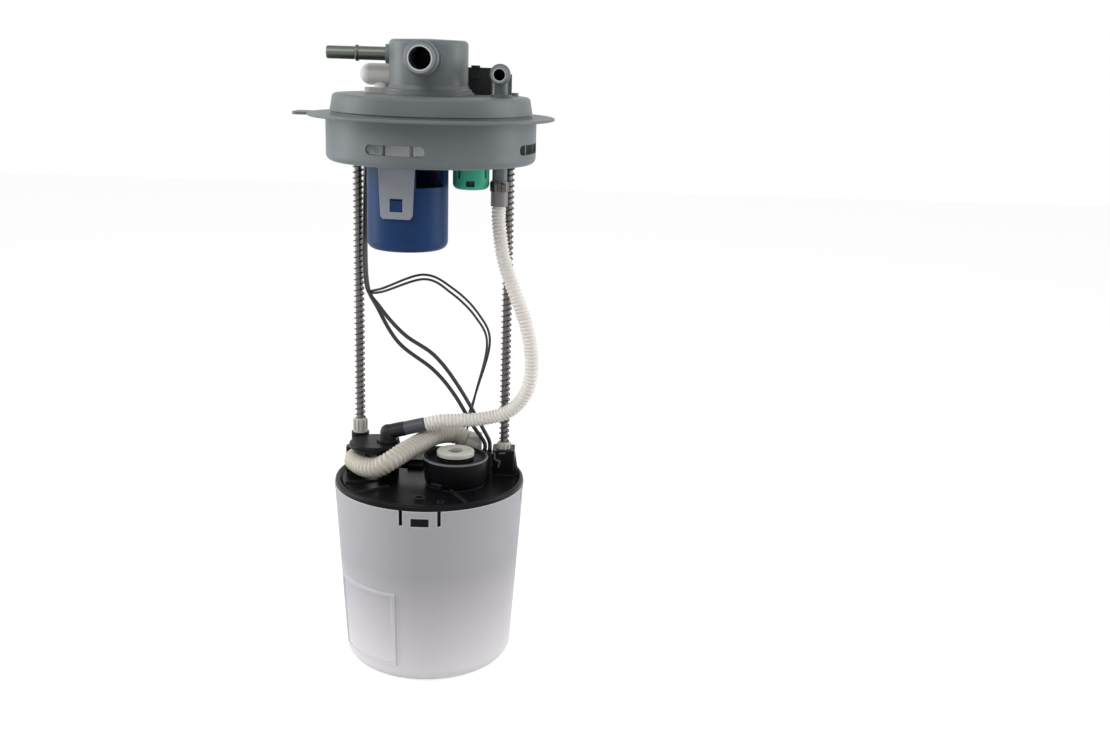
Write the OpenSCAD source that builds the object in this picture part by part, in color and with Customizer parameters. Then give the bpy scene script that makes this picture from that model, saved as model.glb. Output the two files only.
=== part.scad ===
// In-tank fuel pump module: a tank flange with vent dome, two sprung guide rods
// and a fuel reservoir that holds the pump, the jet pump and the level sender.
// Millimetres, +Z up. The origin is the centre of the flange lip's underside,
// which is the face that seats on the tank. -Y is the front.

/* [Tank flange] */
// Radius of the thin lip that seats on the tank
lip_r = 77.5; // [75:0.5:84]
// Thickness of the lip
lip_t = 1.8; // [1.4:0.1:2.4]
// How far the index tab reaches past the lip
tab_reach = 9; // [5:0.5:12]
// Width of the index tab
tab_w = 22; // [14:1:30]
// Radius of the drum where it meets the lip
drum_r = 63.4; // [63:0.1:65]
// Height of the drum's top above the lip's underside
drum_h = 14; // [13:0.5:18]
// Radius of the skirt that hangs into the tank
skirt_r = 66; // [65.5:0.5:70]
// Depth of the skirt below the lip
skirt_h = 27; // [25:0.5:32]
// Wall of drum and skirt
shell_wall = 2.6; // [2:0.1:3]
// Thickness of the drum's top plate
top_plate = 3; // [2.5:0.1:4]
// Height of the slots in the skirt
slot_h = 6; // [4:0.5:8]
// Sweep of each skirt slot in degrees
slot_sweep = 27; // [18:1:36]

/* [Vent dome and ports] */
// Outer radius of the vent dome
dome_r = 24.6; // [24.2:0.1:26]
// Height of the dome's top above the lip's underside
dome_top = 48; // [47:0.5:54]
// Wall of the dome
dome_wall = 2.8; // [2:0.1:3]
// Radius of the weld ring round the dome's foot
weld_ring_r = 28.6; // [28:0.1:31]
// Outer radius of the big vent port
port_r = 8.8; // [8:0.1:9.2]
// Bore radius of the big vent port
port_bore_r = 6.65; // [5.5:0.05:7]
// Length of the big vent port beyond the dome's wall
port_len = 27.5; // [20:0.5:32]
// Height of the big port
port_z = 36.6; // [35.5:0.1:37.2]
// Height of the vapour tube
vapour_z = 38.2; // [36:0.1:39]
// Outer radius of the vapour tube
vapour_r = 3.97; // [3.5:0.01:4.2]
// Bore radius of the vapour tube
vapour_bore_r = 2.9; // [2:0.05:3]
// Length of the vapour tube outside the dome
vapour_len = 39; // [32:1:44]
// Outer radius of the fuel outlet elbow's tube
outlet_r = 5.15; // [4.8:0.05:5.4]
// Bore radius of the fuel outlet
outlet_bore_r = 3.5; // [2.5:0.05:3.8]
// Length of the fuel outlet tube
outlet_len = 28; // [22:1:32]
// Height of the fuel outlet tube
outlet_z = 28; // [26:0.5:31]

/* [Vent valve] */
// Outer radius of the blue vent valve can
can_r = 25.6; // [24.8:0.1:25.8]
// Wall of the can
can_wall = 1.8; // [1.5:0.1:2.2]
// Depth of the can's floor below the lip
can_depth = 81.5; // [78:0.5:86]
// Lift of the vent float
vent_lift = 6; // [4:0.5:7]
// Radius of the vent float
vent_float_r = 21; // [18:0.5:22]

/* [Rollover valve] */
// Outer radius of the green rollover valve
rollover_r = 11.6; // [11:0.1:11.8]
// Depth of the rollover valve's foot below the lip
rollover_depth = 43.5; // [42:0.5:48]
// Lift of the rollover float
rollover_lift = 3; // [2:0.5:4]

/* [Rods and springs] */
// Radius of a guide rod
rod_r = 2.4; // [2.2:0.05:2.6]
// Distance of each rod from the middle plane
rod_x = 49; // [48.6:0.1:49.4]
// Distance of the rods behind the centre
rod_y = 14; // [13.6:0.1:14.4]
// Depth of the rods' lower ends below the lip
rod_depth = 256; // [254:0.5:262]
// Radius of the spring wire
spring_wire_r = 0.45; // [0.35:0.05:0.6]
// Outer radius of the springs
spring_r = 3.6; // [3.5:0.05:3.9]
// Pitch of the spring coils
spring_pitch = 3.7; // [3.4:0.1:4.4]
// Running clearance of the rods in their bushes
rod_gap = 0.05; // [0.03:0.01:0.08]
// Radius of the clips on the rods' lower ends
clip_r = 3.9; // [3.4:0.1:4.1]

/* [Reservoir] */
// Radius of the reservoir at its rim
rim_r = 63.4; // [63:0.1:64.5]
// Radius of the reservoir at its foot
foot_r = 55.5; // [54:0.5:57]
// Depth of the reservoir's rim below the lip
rim_depth = 240; // [239:0.5:243]
// Height of the reservoir
res_h = 123; // [121:0.5:130]
// Wall of the reservoir
res_wall = 2.2; // [1.8:0.1:2.4]
// Width of the snap tongues
tongue_w = 22; // [16:0.5:24]
// Height of the snap tongues
tongue_h = 10.5; // [9.5:0.5:12]
// Width of the snap windows
window_w = 11.6; // [8:0.2:12.4]

/* [Reservoir cover] */
// Thickness of the cover's deck
deck_t = 2.6; // [2:0.1:3]
// Radius of the pump cup's rim
cup_r = 21.7; // [21.3:0.1:22]
// Height of the pump cup above the reservoir's rim
cup_h = 20.5; // [19:0.5:22]
// Height of the left bush seat above the reservoir's rim
left_seat_h = 28; // [27:0.5:29]
// Height of the right bush seat above the reservoir's rim
right_seat_h = 14; // [13:0.5:16]
// Length of a bush above its seat
bush_h = 9.5; // [8:0.5:10]

/* [Pump] */
// Radius of the pump's steel case
pump_r = 18.5; // [18:0.1:18.8]
// Length of the pump's steel case
pump_len = 98; // [94:1:99]
// Wall of the pump's steel case
pump_wall = 1.2; // [1:0.1:1.4]
// Radius of the armature
armature_r = 14.8; // [14:0.1:15]
// Radius of the motor shaft
shaft_r = 1.6; // [1.4:0.1:1.8]
// Vanes on the pump's impeller
vane_count = 24; // [12:1:30]

/* [Level sender] */
// Length of the float arm from pivot to float
arm_len = 77; // [70:1:80]
// Angle of the float arm below the level when empty
arm_drop = 48; // [44:1:52]
// Radius of the float arm's wire
arm_wire_r = 1.1; // [0.9:0.05:1.3]
// Radius of the pivot pin
pivot_r = 2; // [1.6:0.1:2.3]

/* [Hidden] */
$fn = 64;
cut = 1;
gap = 0.1;

// Places that several pieces share
dome_x = -2;
can_x = -14;
can_y = -9;
rollover_x = 25.5;
rollover_y = -4;
outlet_x = 43.5;
outlet_y = -2;
plate_under = drum_h - top_plate;
rim_z = -rim_depth;
floor_z = rim_z - res_h;
pump_x = 18;
pump_y = -10;
cup_rim_z = rim_z + cup_h;
manifold_x = -36.5;
manifold_y = -4;
manifold_top = -213;
manifold_r = 17;
column_r = 7.4;
manifold_elbow_x = -28;
manifold_elbow_y = -2;
sender_x = 18;
sender_y = 64;
sender_z = -280;

// Routes of the cords, chosen by hand
feed_route = [
    [43.5, -2, -54], [43.5, -2, -64], [46.5, -5, -84], [51, -7, -99], [57, -8, -114], [62.5, -9, -129],
    [66, -9, -145], [67, -9, -160], [64.5, -8, -174], [57, -5, -186], [47, -3, -192.5],
    [34, -2, -196], [20, -2, -197.5], [7, -2, -198.25], [-3, -2, -200.75]
];
transfer_route = [
    [23, 19, -217.5], [14, 19, -213.5], [3, 10, -212], [-7, -5, -213.8], [-15.5, -16, -216.3],
    [-24, -23.5, -220.5], [-33, -23, -225.5], [-42, -17, -227], [-50, -6, -226.5],
    [-50, 1, -226.5]
];
power_route = [
    [6, 36, -1], [6, 36, -5], [-2, 35.5, -9], [-20, 33, -10], [-38, 22, -12], [-43, 11, -26],
    [-43.5, 9, -60], [-43, 9, -107], [-36, 9, -125], [-22, 8, -148], [1, 6, -165], [15, 5, -181],
    [28, 6, -203], [36, 9, -216], [36, 9, -222]
];
ground_route = [
    [7.5, 33.3, -1], [7.5, 33.3, -5], [-0.5, 32.8, -9], [-18.4, 30.3, -10], [-36.4, 19.4, -12],
    [-42, 8.2, -26], [-43.5, 6.2, -60], [-43, 6.2, -107], [-34, 6, -124], [-18, 5, -141.5],
    [2, 3, -154.5], [18, 2.5, -174.5], [36, 6, -207], [39.5, 9, -216], [39.5, 9, -222]
];
signal_route = [
    [8.8, 31.1, -1], [8.8, 31.1, -5], [0.8, 30.6, -9], [-17, 28, -10], [-35, 17.4, -12],
    [-41.5, 5.8, -26], [-43.5, 3.9, -60], [-43, 3.9, -107], [-36, 4, -112], [-6, 7, -101.5],
    [14, 8, -110.5], [30.5, 8, -126.5], [38.5, 9, -146], [29, 18, -184], [17, 56, -226],
    [17, 71.5, -244], [17, 71.5, -252]
];
return_route = [
    [9.8, 29.4, -1], [9.8, 29.4, -5], [1.8, 28.9, -9], [-16, 26.2, -10], [-34, 15.7, -12],
    [-41.2, 4, -26], [-43.5, 2.1, -60], [-43, 2.1, -107], [-35, 2.5, -113.5], [-5, 4.5, -104],
    [13, 5.5, -113], [29, 5.5, -128.5], [36.8, 6, -147], [28.5, 16, -186], [20, 56, -226],
    [20, 71.5, -244], [20, 71.5, -252]
];
feed_hose_r = 4.75;
transfer_hose_r = 6.7;
pump_wire_r = 1.35;
sender_wire_r = 0.8;

// Points of an arc about c from angle a to b, in n steps
function arc(c, r, a, b, n = 5) =
    [for (i = [0:n]) c + r * [cos(a + (b - a) * i / n), sin(a + (b - a) * i / n)]];
function unit(v) = v / norm(v);
function tangent(p, i) = unit(p[min(i + 1, len(p) - 1)] - p[max(i - 1, 0)]);
function first_side(t) = unit(cross(t, abs(t[2]) > 0.9 ? [1, 0, 0] : [0, 0, 1]));
function sides_along(p, i, s) =
    i >= len(p) ? [] :
    let (t = tangent(p, i), m = unit(s - (s * t) * t)) concat([m], sides_along(p, i + 1, m));

// Skins a list of rings, each of n points, into one closed solid
module skin(rings, n) {
    last = (len(rings) - 1) * n;
    walls = [for (i = [0:len(rings) - 2], k = [0:n - 1])
        let (a = i * n + k, b = i * n + (k + 1) % n) each [[a, a + n, b + n], [a, b + n, b]]];
    caps = [[for (k = [0:n - 1]) k], [for (k = [n - 1:-1:0]) last + k]];
    polyhedron([for (ring = rings) each ring], concat(caps, walls));
}

// Round tube of radius r swept along a route
module cord(route, r, n) {
    sides = sides_along(route, 0, first_side(tangent(route, 0)));
    skin([for (i = [0:len(route) - 1])
        let (t = tangent(route, i), m = sides[i], b = cross(t, m))
        [for (k = [0:n - 1]) route[i] + r * (cos(360 * k / n) * m + sin(360 * k / n) * b)]], n);
}

// Helical spring from z0 up to z1 with one closed turn at each end
module coil(r, wire, z0, z1, pitch) {
    steps = 8;
    closed = 2.4 * wire;
    open_turns = round((z1 - z0 - 2 * closed) / pitch);
    turns = open_turns + 2;
    rise = z1 - z0 - 2 * wire - 2 * closed;
    mid = r - wire;
    skin([for (i = [0:turns * steps])
        let (
            t = i / steps,
            a = 360 * t,
            z = z0 + wire + (t < 1 ? closed * t : t > turns - 1 ? closed + rise + closed * (t - turns + 1)
                : closed + rise * (t - 1) / open_turns),
            out = [cos(a), sin(a), 0]
        )
        [for (k = [0:3]) out * mid + [0, 0, z]
            + wire * (cos(90 * k) * out + sin(90 * k) * [0, 0, -1])]], 4);
}

module disc(r, z0, z1) {
    translate([0, 0, z0]) cylinder(r = r, h = z1 - z0);
}

module ring(r_out, r_in, z0, z1) {
    difference() {
        disc(r_out, z0, z1);
        disc(r_in, z0 - cut, z1 + cut);
    }
}

module cone(r0, r1, z0, z1) {
    translate([0, 0, z0]) cylinder(r1 = r0, r2 = r1, h = z1 - z0);
}

module block(x0, x1, y0, y1, z0, z1) {
    translate([x0, y0, z0]) cube([x1 - x0, y1 - y0, z1 - z0]);
}

// Block with its upright edges rounded
module soft_block(x0, x1, y0, y1, z0, z1, r) {
    translate([0, 0, z0]) linear_extrude(z1 - z0) {
        translate([x0 + r, y0]) square([x1 - x0 - 2 * r, y1 - y0]);
        translate([x0, y0 + r]) square([x1 - x0, y1 - y0 - 2 * r]);
        for (x = [x0 + r, x1 - r], y = [y0 + r, y1 - r]) translate([x, y]) circle(r);
    }
}

// Wedge of a ring from angle a over a sweep of s degrees
module sector(r_in, r_out, z0, z1, a, s) {
    rotate(a) rotate_extrude(angle = s)
        translate([r_in, z0]) square([r_out - r_in, z1 - z0]);
}

// Slot with round ends cut from outside through a round wall, centred on angle a
module wall_slot(r, depth, z, h, a, s) {
    w = 2 * r * sin(s / 2);
    rotate(a) translate([r - 2 * depth, 0, z]) rotate([90, 0, 90]) linear_extrude(3 * depth) {
        square([w, h], center = true);
        for (x = [-w / 2, w / 2]) translate([x, 0]) circle(r = h / 2);
    }
}

module at_dome() { translate([dome_x, 0, 0]) children(); }
module at_can() { translate([can_x, can_y, 0]) children(); }
module at_rollover() { translate([rollover_x, rollover_y, 0]) children(); }
module at_outlet() { translate([outlet_x, outlet_y, 0]) children(); }
module at_pump() { translate([pump_x, pump_y, 0]) children(); }
module at_rod(side) { translate([side * rod_x, rod_y, 0]) children(); }
module at_manifold_elbow() { translate([manifold_elbow_x, manifold_elbow_y, 0]) children(); }

// Slots in the skirt stand a quarter turn apart
slot_angle = -104;
slot_z = -16.5;
skirt_corner = 4;
skirt_mouth_r = skirt_r - 8;
socket_depth = 20;
socket_r = rod_r + 3.1;
spigot_r = 6;
spigot_gap = 0.3;
vapour_duct = 1.8;

// Lip, drum and skirt turned as one shell
module flange_profile() {
    top_r = drum_r - 1.4;
    round_r = 2.5;
    polygon(concat(
        [[0, drum_h]],
        arc([top_r - round_r, drum_h - round_r], round_r, 90, 0),
        [[drum_r, lip_t + 1.6], [drum_r - 0.8, lip_t + 1.2], [drum_r - 0.8, lip_t]],
        arc([lip_r - lip_t / 2, lip_t / 2], lip_t / 2, 90, -90, 4),
        [[skirt_r, 0]],
        arc([skirt_r - skirt_corner, skirt_corner - skirt_h], skirt_corner, 0, -90),
        [[skirt_mouth_r, -skirt_h], [skirt_mouth_r, shell_wall - skirt_h],
         [skirt_r - skirt_corner, shell_wall - skirt_h],
         [skirt_r - shell_wall, skirt_corner - skirt_h], [skirt_r - shell_wall, -shell_wall],
         [drum_r - shell_wall, 0], [drum_r - shell_wall, plate_under], [0, plate_under]]
    ));
}

module index_tab() {
    reach = lip_r + tab_reach;
    soft_block(-reach, -lip_r + 6, -tab_w / 2, tab_w / 2, 0, lip_t, 4);
}

module flange() {
    color("#8f979f") difference() {
        union() {
            rotate_extrude() flange_profile();
            index_tab();
            for (side = [-1, 1]) at_rod(side) disc(socket_r, -socket_depth, plate_under);
            at_rollover() disc(rollover_r - 4, -rollover_neck, plate_under);
            block(can_x + 10, rollover_x, rollover_y - 3, rollover_y + 3, plate_under - 7, plate_under);
            at_outlet() disc(outlet_r + 3, -3, plate_under);
            for (a = [15, 40, 100, 140, 190, 228, 262, 300, 338]) rotate(a)
                block(46, drum_r - shell_wall + 0.6, -0.9, 0.9, plate_under - 9, plate_under + 1);
            translate([50.5, 22, 0]) disc(3, drum_h - 1, drum_h + 2);
        }
        for (k = [0:3]) wall_slot(skirt_r, 3.5, slot_z, slot_h, slot_angle + 90 * k, slot_sweep);
        for (side = [-1, 1]) at_rod(side) disc(rod_r, -socket_depth - cut, plate_under - 2);
        at_can() disc(spigot_r + spigot_gap, 0, drum_h + cut);
        at_can() disc(can_r + carrier_t + 0.4, -cut, plate_under);
        at_rollover() disc(rollover_neck_r, -rollover_neck - cut, plate_under);
        translate([8, rollover_y, plate_under - 3]) rotate([0, 90, 0])
            cylinder(r = vapour_duct, h = rollover_x - 8);
        translate([16, rollover_y, 0]) disc(vapour_duct, plate_under - 3, drum_h + cut);
        at_outlet() disc(outlet_r, -cut * 4, drum_h + cut);
        block(8, 34, 29, 39, plate_under - cut, drum_h + cut);
        translate([grommet_x, grommet_y, 0]) disc(grommet_hole_r, plate_under - cut, drum_h + cut);
    }
    color("#8f979f") for (k = [0:3], e = [-7, 9]) rotate(slot_angle + 90 * k + e)
        block(skirt_r - shell_wall - 2, skirt_r - shell_wall + 1, -0.7, 0.7,
            slot_z - slot_h / 2 - 1, slot_z + slot_h / 2 + 1);
}

// Ring that hangs in the flange and latches the can with two windowed legs
leg_angle = -98;
leg_w = 23.2;
leg_tip_w = 20;
leg_z = -60;
leg_t = 2.2;
leg_window = 8;
leg_window_z = -51.5;
carrier_z = -12;
carrier_t = 2.8;
apron_z = -21.5;
apron_sweep = 96;

module carrier_leg() {
    rotate(leg_angle + 90) translate([0, -can_r - gap, 0]) rotate([90, 0, 0])
        linear_extrude(leg_t) difference() {
            union() {
                polygon([[-leg_w / 2, carrier_z + 6], [leg_w / 2, carrier_z + 6],
                    [leg_w / 2, carrier_z - 10], [leg_tip_w / 2, leg_z + 2],
                    [leg_tip_w / 2 - 1.6, leg_z], [1.6 - leg_tip_w / 2, leg_z],
                    [-leg_tip_w / 2, leg_z + 2], [-leg_w / 2, carrier_z - 10]]);
            }
            translate([0, leg_window_z]) square(leg_window, center = true);
        }
}

module valve_carrier() {
    color("#b9bcc6") difference() {
        at_can() difference() {
            union() {
                disc(can_r + carrier_t, carrier_z, plate_under);
                for (k = [0:1]) {
                    rotate(180 * k) carrier_leg();
                    sector(can_r - cut, can_r + carrier_t, apron_z, carrier_z + cut,
                        leg_angle + 180 * k - apron_sweep / 2, apron_sweep);
                }
            }
            disc(can_r + gap, carrier_z - 60, plate_under + cut);
        }
        translate([grommet_x, grommet_y, 0]) disc(grommet_hole_r + 1.4, plate_under - 4, plate_under + cut);
    }
}

root_step = 0.2;
relief = 0.6;

// End of a tube of radius r: a bead, a short relief and the length a connector grips
module beaded_end(r, bead_r, bead, tip) {
    rotate_extrude() polygon(concat(
        [[0, bead - bead_r]],
        arc([r - root_step, bead], bead_r + root_step, -90, 90, 6),
        [[r - root_step, bead + bead_r + root_step + relief], [r, bead + bead_r + root_step + relief], [r, tip], [0, tip]]
    ));
}

// Moulded dome that takes the vapour from both valves to the two ports
module vent_dome() {
    round_r = 3;
    inner = dome_r - dome_wall;
    port_y = dome_r + port_len;
    bead = port_y - 9;
    color("#8d959c") at_dome() difference() {
        union() {
            rotate_extrude() polygon(concat(
                [[0, drum_h], [weld_ring_r, drum_h], [weld_ring_r, drum_h + 1.6],
                 [weld_ring_r - 1.6, drum_h + 2.2], [weld_ring_r - 1.6, drum_h + 3.4],
                 [dome_r + 1.2, drum_h + 4], [dome_r, drum_h + 6]],
                arc([dome_r - round_r, dome_top - round_r - 0.6], round_r, 0, 78),
                [[0, dome_top]]
            ));
            translate([0, 0, port_z]) rotate([90, 0, 0]) {
                disc(port_r + root_step, inner, bead);
                disc(port_r + 1.6, inner, dome_r + 1.5);
                beaded_end(port_r, 1.8, bead, port_y);
            }
            translate([0, 0, vapour_z]) rotate([0, -90, 0]) disc(vapour_r + 2, inner, dome_r + 2);
        }
        disc(inner, drum_h - cut, dome_top - dome_wall - 0.6);
        translate([0, 0, port_z]) rotate([90, 0, 0]) disc(port_bore_r, 0, port_y + cut);
        translate([0, 0, vapour_z]) rotate([0, -90, 0]) disc(vapour_r + root_step, 0, dome_r + 2 + cut);
    }
}

// Steel tube pressed into the dome, with a quick-connect bead
module vapour_tube() {
    inner = dome_r - dome_wall;
    tip = dome_r + vapour_len;
    bead = dome_r + 20;
    root_r = vapour_r + root_step;
    color("#7c7f80") at_dome() translate([0, 0, vapour_z]) rotate([0, -90, 0]) rotate_extrude()
        polygon(concat(
            [[vapour_bore_r, inner - 2], [root_r, inner - 2], [root_r, bead - 1.25]],
            arc([vapour_r - root_step, bead], 1.3, -60, 90, 6),
            [[vapour_r - root_step, bead + 1.3 + relief], [vapour_r, bead + 1.3 + relief]],
            arc([vapour_r - 0.8, tip - 0.8], 0.8, 0, 90, 4),
            [[vapour_bore_r, tip]]
        ));
}

// Light sensor with its socket at the back, on a rubber grommet
grommet_x = -33.5;
grommet_y = 13;
grommet_hole_r = 4;
sensor_z = 25.5;
sensor_r = 6.8;

module pressure_sensor() {
    color("#cfcdc6") difference() {
        union() {
            translate([-40, grommet_y, sensor_z]) sphere(r = sensor_r);
            translate([-40, grommet_y, sensor_z]) rotate([0, 90, 0]) cylinder(r = sensor_r, h = 13);
            translate([grommet_x, grommet_y, 0]) disc(4.6, drum_h + 3.2, sensor_z);
            translate([grommet_x, grommet_y, 0]) disc(2.6, plate_under - 3, drum_h + 3.2);
            translate([-35, grommet_y, sensor_z]) rotate([-90, 0, 0]) cylinder(r = 5.6, h = 15);
        }
        translate([-35, grommet_y + 5, sensor_z]) rotate([-90, 0, 0]) cylinder(r = 4.3, h = 11);
    }
    color("#c9a84c") for (x = [-37, -35, -33])
        translate([x, grommet_y + 4.5, sensor_z]) rotate([-90, 0, 0]) cylinder(r = 0.4, h = 8);
}

module sensor_grommet() {
    color("#c6c4c0") translate([grommet_x, grommet_y, 0]) difference() {
        union() {
            soft_block(-10.5, 6.2, -6.5, 6.5, drum_h, drum_h + 3.2, 5);
            disc(grommet_hole_r, plate_under - 1, drum_h);
            disc(grommet_hole_r + 1, plate_under - 1.8, plate_under);
        }
        disc(2.6, plate_under - 4, drum_h + 5);
        translate([dome_x - grommet_x, -grommet_y, 0]) disc(weld_ring_r + 0.4, drum_h, drum_h + 5);
    }
}

// Black terminal block with its mouth to the left, behind the dome
connector_top = 31;

module electrical_connector() {
    color("#1d1d1f") difference() {
        union() {
            soft_block(19, 36.5, 27, 43, drum_h, connector_top, 1.5);
            soft_block(4, 22, 28.5, 41.5, drum_h + 2, connector_top - 1.5, 1.5);
            soft_block(8, 34, 29, 39, plate_under, drum_h, 2);
            block(22.5, 28, 25.6, 30, connector_top - 7, connector_top - 5.6);
            block(22.5, 28, 26.2, 32, connector_top - 0.5, connector_top + 1.4);
            block(10, 14, 32, 38, connector_top - 2, connector_top);
        }
        block(3, 17, 30.2, 39.8, drum_h + 3.8, connector_top - 3.2);
        for (y = [31.5, 34, 36.5]) block(31, 38, y - 0.6, y + 0.6, drum_h + 3, connector_top - 3);
        for (y = [33, 37]) block(16, 25, y - 0.4, y + 0.4, 21.5, 22.5);
        for (y = [33, 37]) block(24, 25, y - 0.4, y + 0.4, plate_under - cut, 22.5);
    }
}

module connector_pins() {
    color("#c8b06a") for (y = [33, 37]) {
        block(7, 25, y - 0.4, y + 0.4, 21.5, 22.5);
        block(24, 25, y - 0.4, y + 0.4, 8, 21.5);
    }
}

// Plug under the flange that the four wires leave downwards
module harness_plug() {
    color("#26262a") difference() {
        union() {
            soft_block(-1, 27, 27, 41, -1, 8, 2);
            soft_block(9, 33, 30, 38, 8, plate_under, 2);
        }
        for (y = [33, 37]) block(24, 25, y - 0.4, y + 0.4, 7, plate_under + cut);
        for (x = [3, 13]) block(x, x + 6, 40, 42, 2, 5);
    }
}

// Outlet elbow: nipple under the flange, stem through it and a tube to the front
module outlet_elbow() {
    stem_r = 4.55;
    color("#868d93") at_outlet() difference() {
        union() {
            disc(stem_r, drum_h, outlet_z);
            disc(outlet_r, -3, drum_h);
            disc(outlet_r + 2.6, -5, -3);
            disc(outlet_r + 1.8, drum_h, drum_h + 1.4);
            disc(stem_r + 0.2, -38, -5);
            disc(barb_r - 0.5, -52, -38);
            for (z = [-51, -47, -43]) cone(barb_r - 0.5, barb_r, z - 0.6, z + 1.6);
            translate([0, 0, outlet_z]) sphere(r = outlet_r + root_step);
            translate([0, 0, outlet_z]) rotate([90, 0, 0]) {
                disc(outlet_r + root_step, 0, outlet_len - 11);
                beaded_end(outlet_r, 1.3, outlet_len - 11, outlet_len);
            }
            block(stem_r - 0.5, stem_r + 2, -1, 1, drum_h + 1.4, outlet_z);
        }
        disc(2.4, -52 - cut, outlet_z);
        translate([0, 0, outlet_z]) sphere(r = outlet_bore_r);
        translate([0, 0, outlet_z]) rotate([90, 0, 0]) disc(outlet_bore_r, 0, outlet_len + cut);
    }
}

barb_r = 4.2;

// Smooth end of the feed hose, pushed over the nipple's barbs
module outlet_cuff() {
    color("#a9abb0") at_outlet() ring(5.4, barb_r, -54, -38);
}

module hose_clamp() {
    color("#2c2e33") at_outlet() {
        ring(6.1, 5.4, -44.5, -38.8);
        difference() {
            block(-2.5, 2.5, -9.2, -5.4, -44, -39.3);
            disc(5.8, -50, -30);
            block(-1, 1, -10, -6.6, -45, -38);
        }
    }
}

// Can of the vent valve, with three vapour windows and a latch on each leg.
// Each window is its start angle and its sweep
window_spans = [[-72, 50], [19, 17], [110, 48]];
window_z = -35.3;
window_h = 11.6;

module vent_valve_can() {
    corner = 5;
    color("#214a94") at_can() difference() {
        union() {
            rotate_extrude() polygon(concat(
                [[0, -can_depth]],
                arc([can_r - corner, corner - can_depth], corner, -90, 0),
                [[can_r, can_top], [0, can_top]]
            ));
            for (k = [0:1]) rotate(leg_angle + 180 * k)
                soft_catch(can_r + leg_t + gap, leg_window - 0.6, leg_window_z);
        }
        difference() {
            disc(can_r - can_wall, 2 - can_depth, can_top + cut);
            ring(11, 9.5, 1 - can_depth, 6.5 - can_depth);
        }
        for (w = window_spans)
            sector(can_r - 3, can_r + 1, window_z - window_h / 2, window_z + window_h / 2, w[0], w[1]);
        for (k = [0:5]) rotate(60 * k) translate([17, 0, 0]) disc(1.5, -can_depth - cut, 3 - can_depth);
        disc(4, -can_depth - cut, 3 - can_depth);
    }
}

can_top = 5;

// Square latch that fills a leg's window out to radius r
module soft_catch(r, w, z) {
    block(can_r - 1.2, r - 0.3, -w / 2, w / 2, z - w / 2, z + w / 2 - 0.8);
}

module vent_valve_cap() {
    color("#1b3f82") at_can() difference() {
        union() {
            disc(can_r, can_top, can_top + 4);
            disc(can_r - can_wall, 0, can_top);
            disc(spigot_r, can_top + 4, drum_h + 1.5);
        }
        disc(3.6, -cut, drum_h + 3);
        cone(6, 3.6, -cut, 1.5);
        ring(can_r - 4, 9, -cut, 3);
    }
}

module vent_valve_seal() {
    color("#151515") at_can() translate([0, 0, can_top + 5]) rotate_extrude()
        translate([spigot_r + 1.1, 0]) circle(r = 1);
}

module vent_valve_float() {
    base = 6.5 - can_depth;
    top = base + 28;
    color("#e6e4dc") at_can() difference() {
        union() {
            rotate_extrude() polygon(concat(
                [[0, base], [vent_float_r, base]],
                arc([vent_float_r - 3, top - 3], 3, 0, 90),
                [[3.2, top], [3.2, -vent_lift - 3]],
                [[1.2, 1.2 - vent_lift], [0, 1.2 - vent_lift]]
            ));
            for (k = [0:3]) rotate(90 * k) block(vent_float_r - 1, vent_float_r + 1.6, -1, 1, base, top - 4);
        }
        ring(vent_float_r - 2, 12.5, base - cut, base + 18);
    }
}

module vent_valve_spring() {
    color("#b8bcc0") at_can() coil(8.6, 0.4, 2 - can_depth, 6.5 - can_depth, 1.6);
}

rollover_neck = 14;
rollover_neck_r = 5;

// Rollover valve with side slots, a small front window and a rounded foot
module rollover_valve_body() {
    corner = 3.5;
    color("#1d8f7a") at_rollover() difference() {
        rotate_extrude() polygon(concat(
            [[0, -rollover_depth]],
            arc([rollover_r - corner, corner - rollover_depth], corner, -90, 0),
            [[rollover_r, -rollover_neck - 3], [0, -rollover_neck - 3]]
        ));
        disc(rollover_r - 1.6, 1.8 - rollover_depth, -rollover_neck);
        for (a = [-127, -34, 56, 146]) rotate(a)
            block(rollover_r - 3, rollover_r + 1, -0.9, 0.9, 7.5 - rollover_depth, -22);
        rotate(-88) block(rollover_r - 3, rollover_r + 1, -2.6, 2.6, 2.4 - rollover_depth, 6 - rollover_depth);
        for (a = [0:60:300]) rotate(a) translate([6.5, 0, 0])
            disc(1.2, -rollover_depth - cut, 3 - rollover_depth);
    }
}

module rollover_valve_cap() {
    color("#187a69") at_rollover() difference() {
        union() {
            disc(rollover_r, -rollover_neck - 3, -rollover_neck);
            disc(rollover_r - 1.6, -rollover_neck - 5, -rollover_neck - 3);
            disc(rollover_neck_r, -rollover_neck, plate_under - 6);
        }
        disc(2, -rollover_neck - 6, plate_under);
        cone(3.6, 2, -rollover_neck - 6, -rollover_neck - 4);
    }
}

module rollover_valve_float() {
    base = 1.8 - rollover_depth;
    tip = -rollover_neck - 5 - rollover_lift + 1;
    color("#d9d7cf") at_rollover() difference() {
        rotate_extrude() polygon([[0, base], [8.6, base], [9.4, base + 1], [9.4, tip - 6],
            [8, tip - 4.5], [3, tip - 4], [1.4, tip], [0, tip]]);
        disc(6, base - cut, base + 9);
    }
}

// Guide rods pressed into the flange's sockets
module guide_rod(side) {
    color("#8b8f94") at_rod(side) {
        disc(rod_r, -rod_depth + 1, plate_under - 2);
        cone(rod_r - 0.8, rod_r, -rod_depth, -rod_depth + 1);
    }
}

module guide_rod_left() { guide_rod(-1); }
module guide_rod_right() { guide_rod(1); }

// Push-on clip that stops the bush on each rod
bush_foot = rim_z - 8;

module rod_clip(side) {
    color("#5c6066") at_rod(side) difference() {
        union() {
            disc(clip_r, bush_foot - 1, bush_foot);
            cone(rod_r + 0.4, clip_r - 0.4, bush_foot - 2.6, bush_foot - 1);
        }
        disc(rod_r, bush_foot - 4, bush_foot + cut);
    }
}

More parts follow.
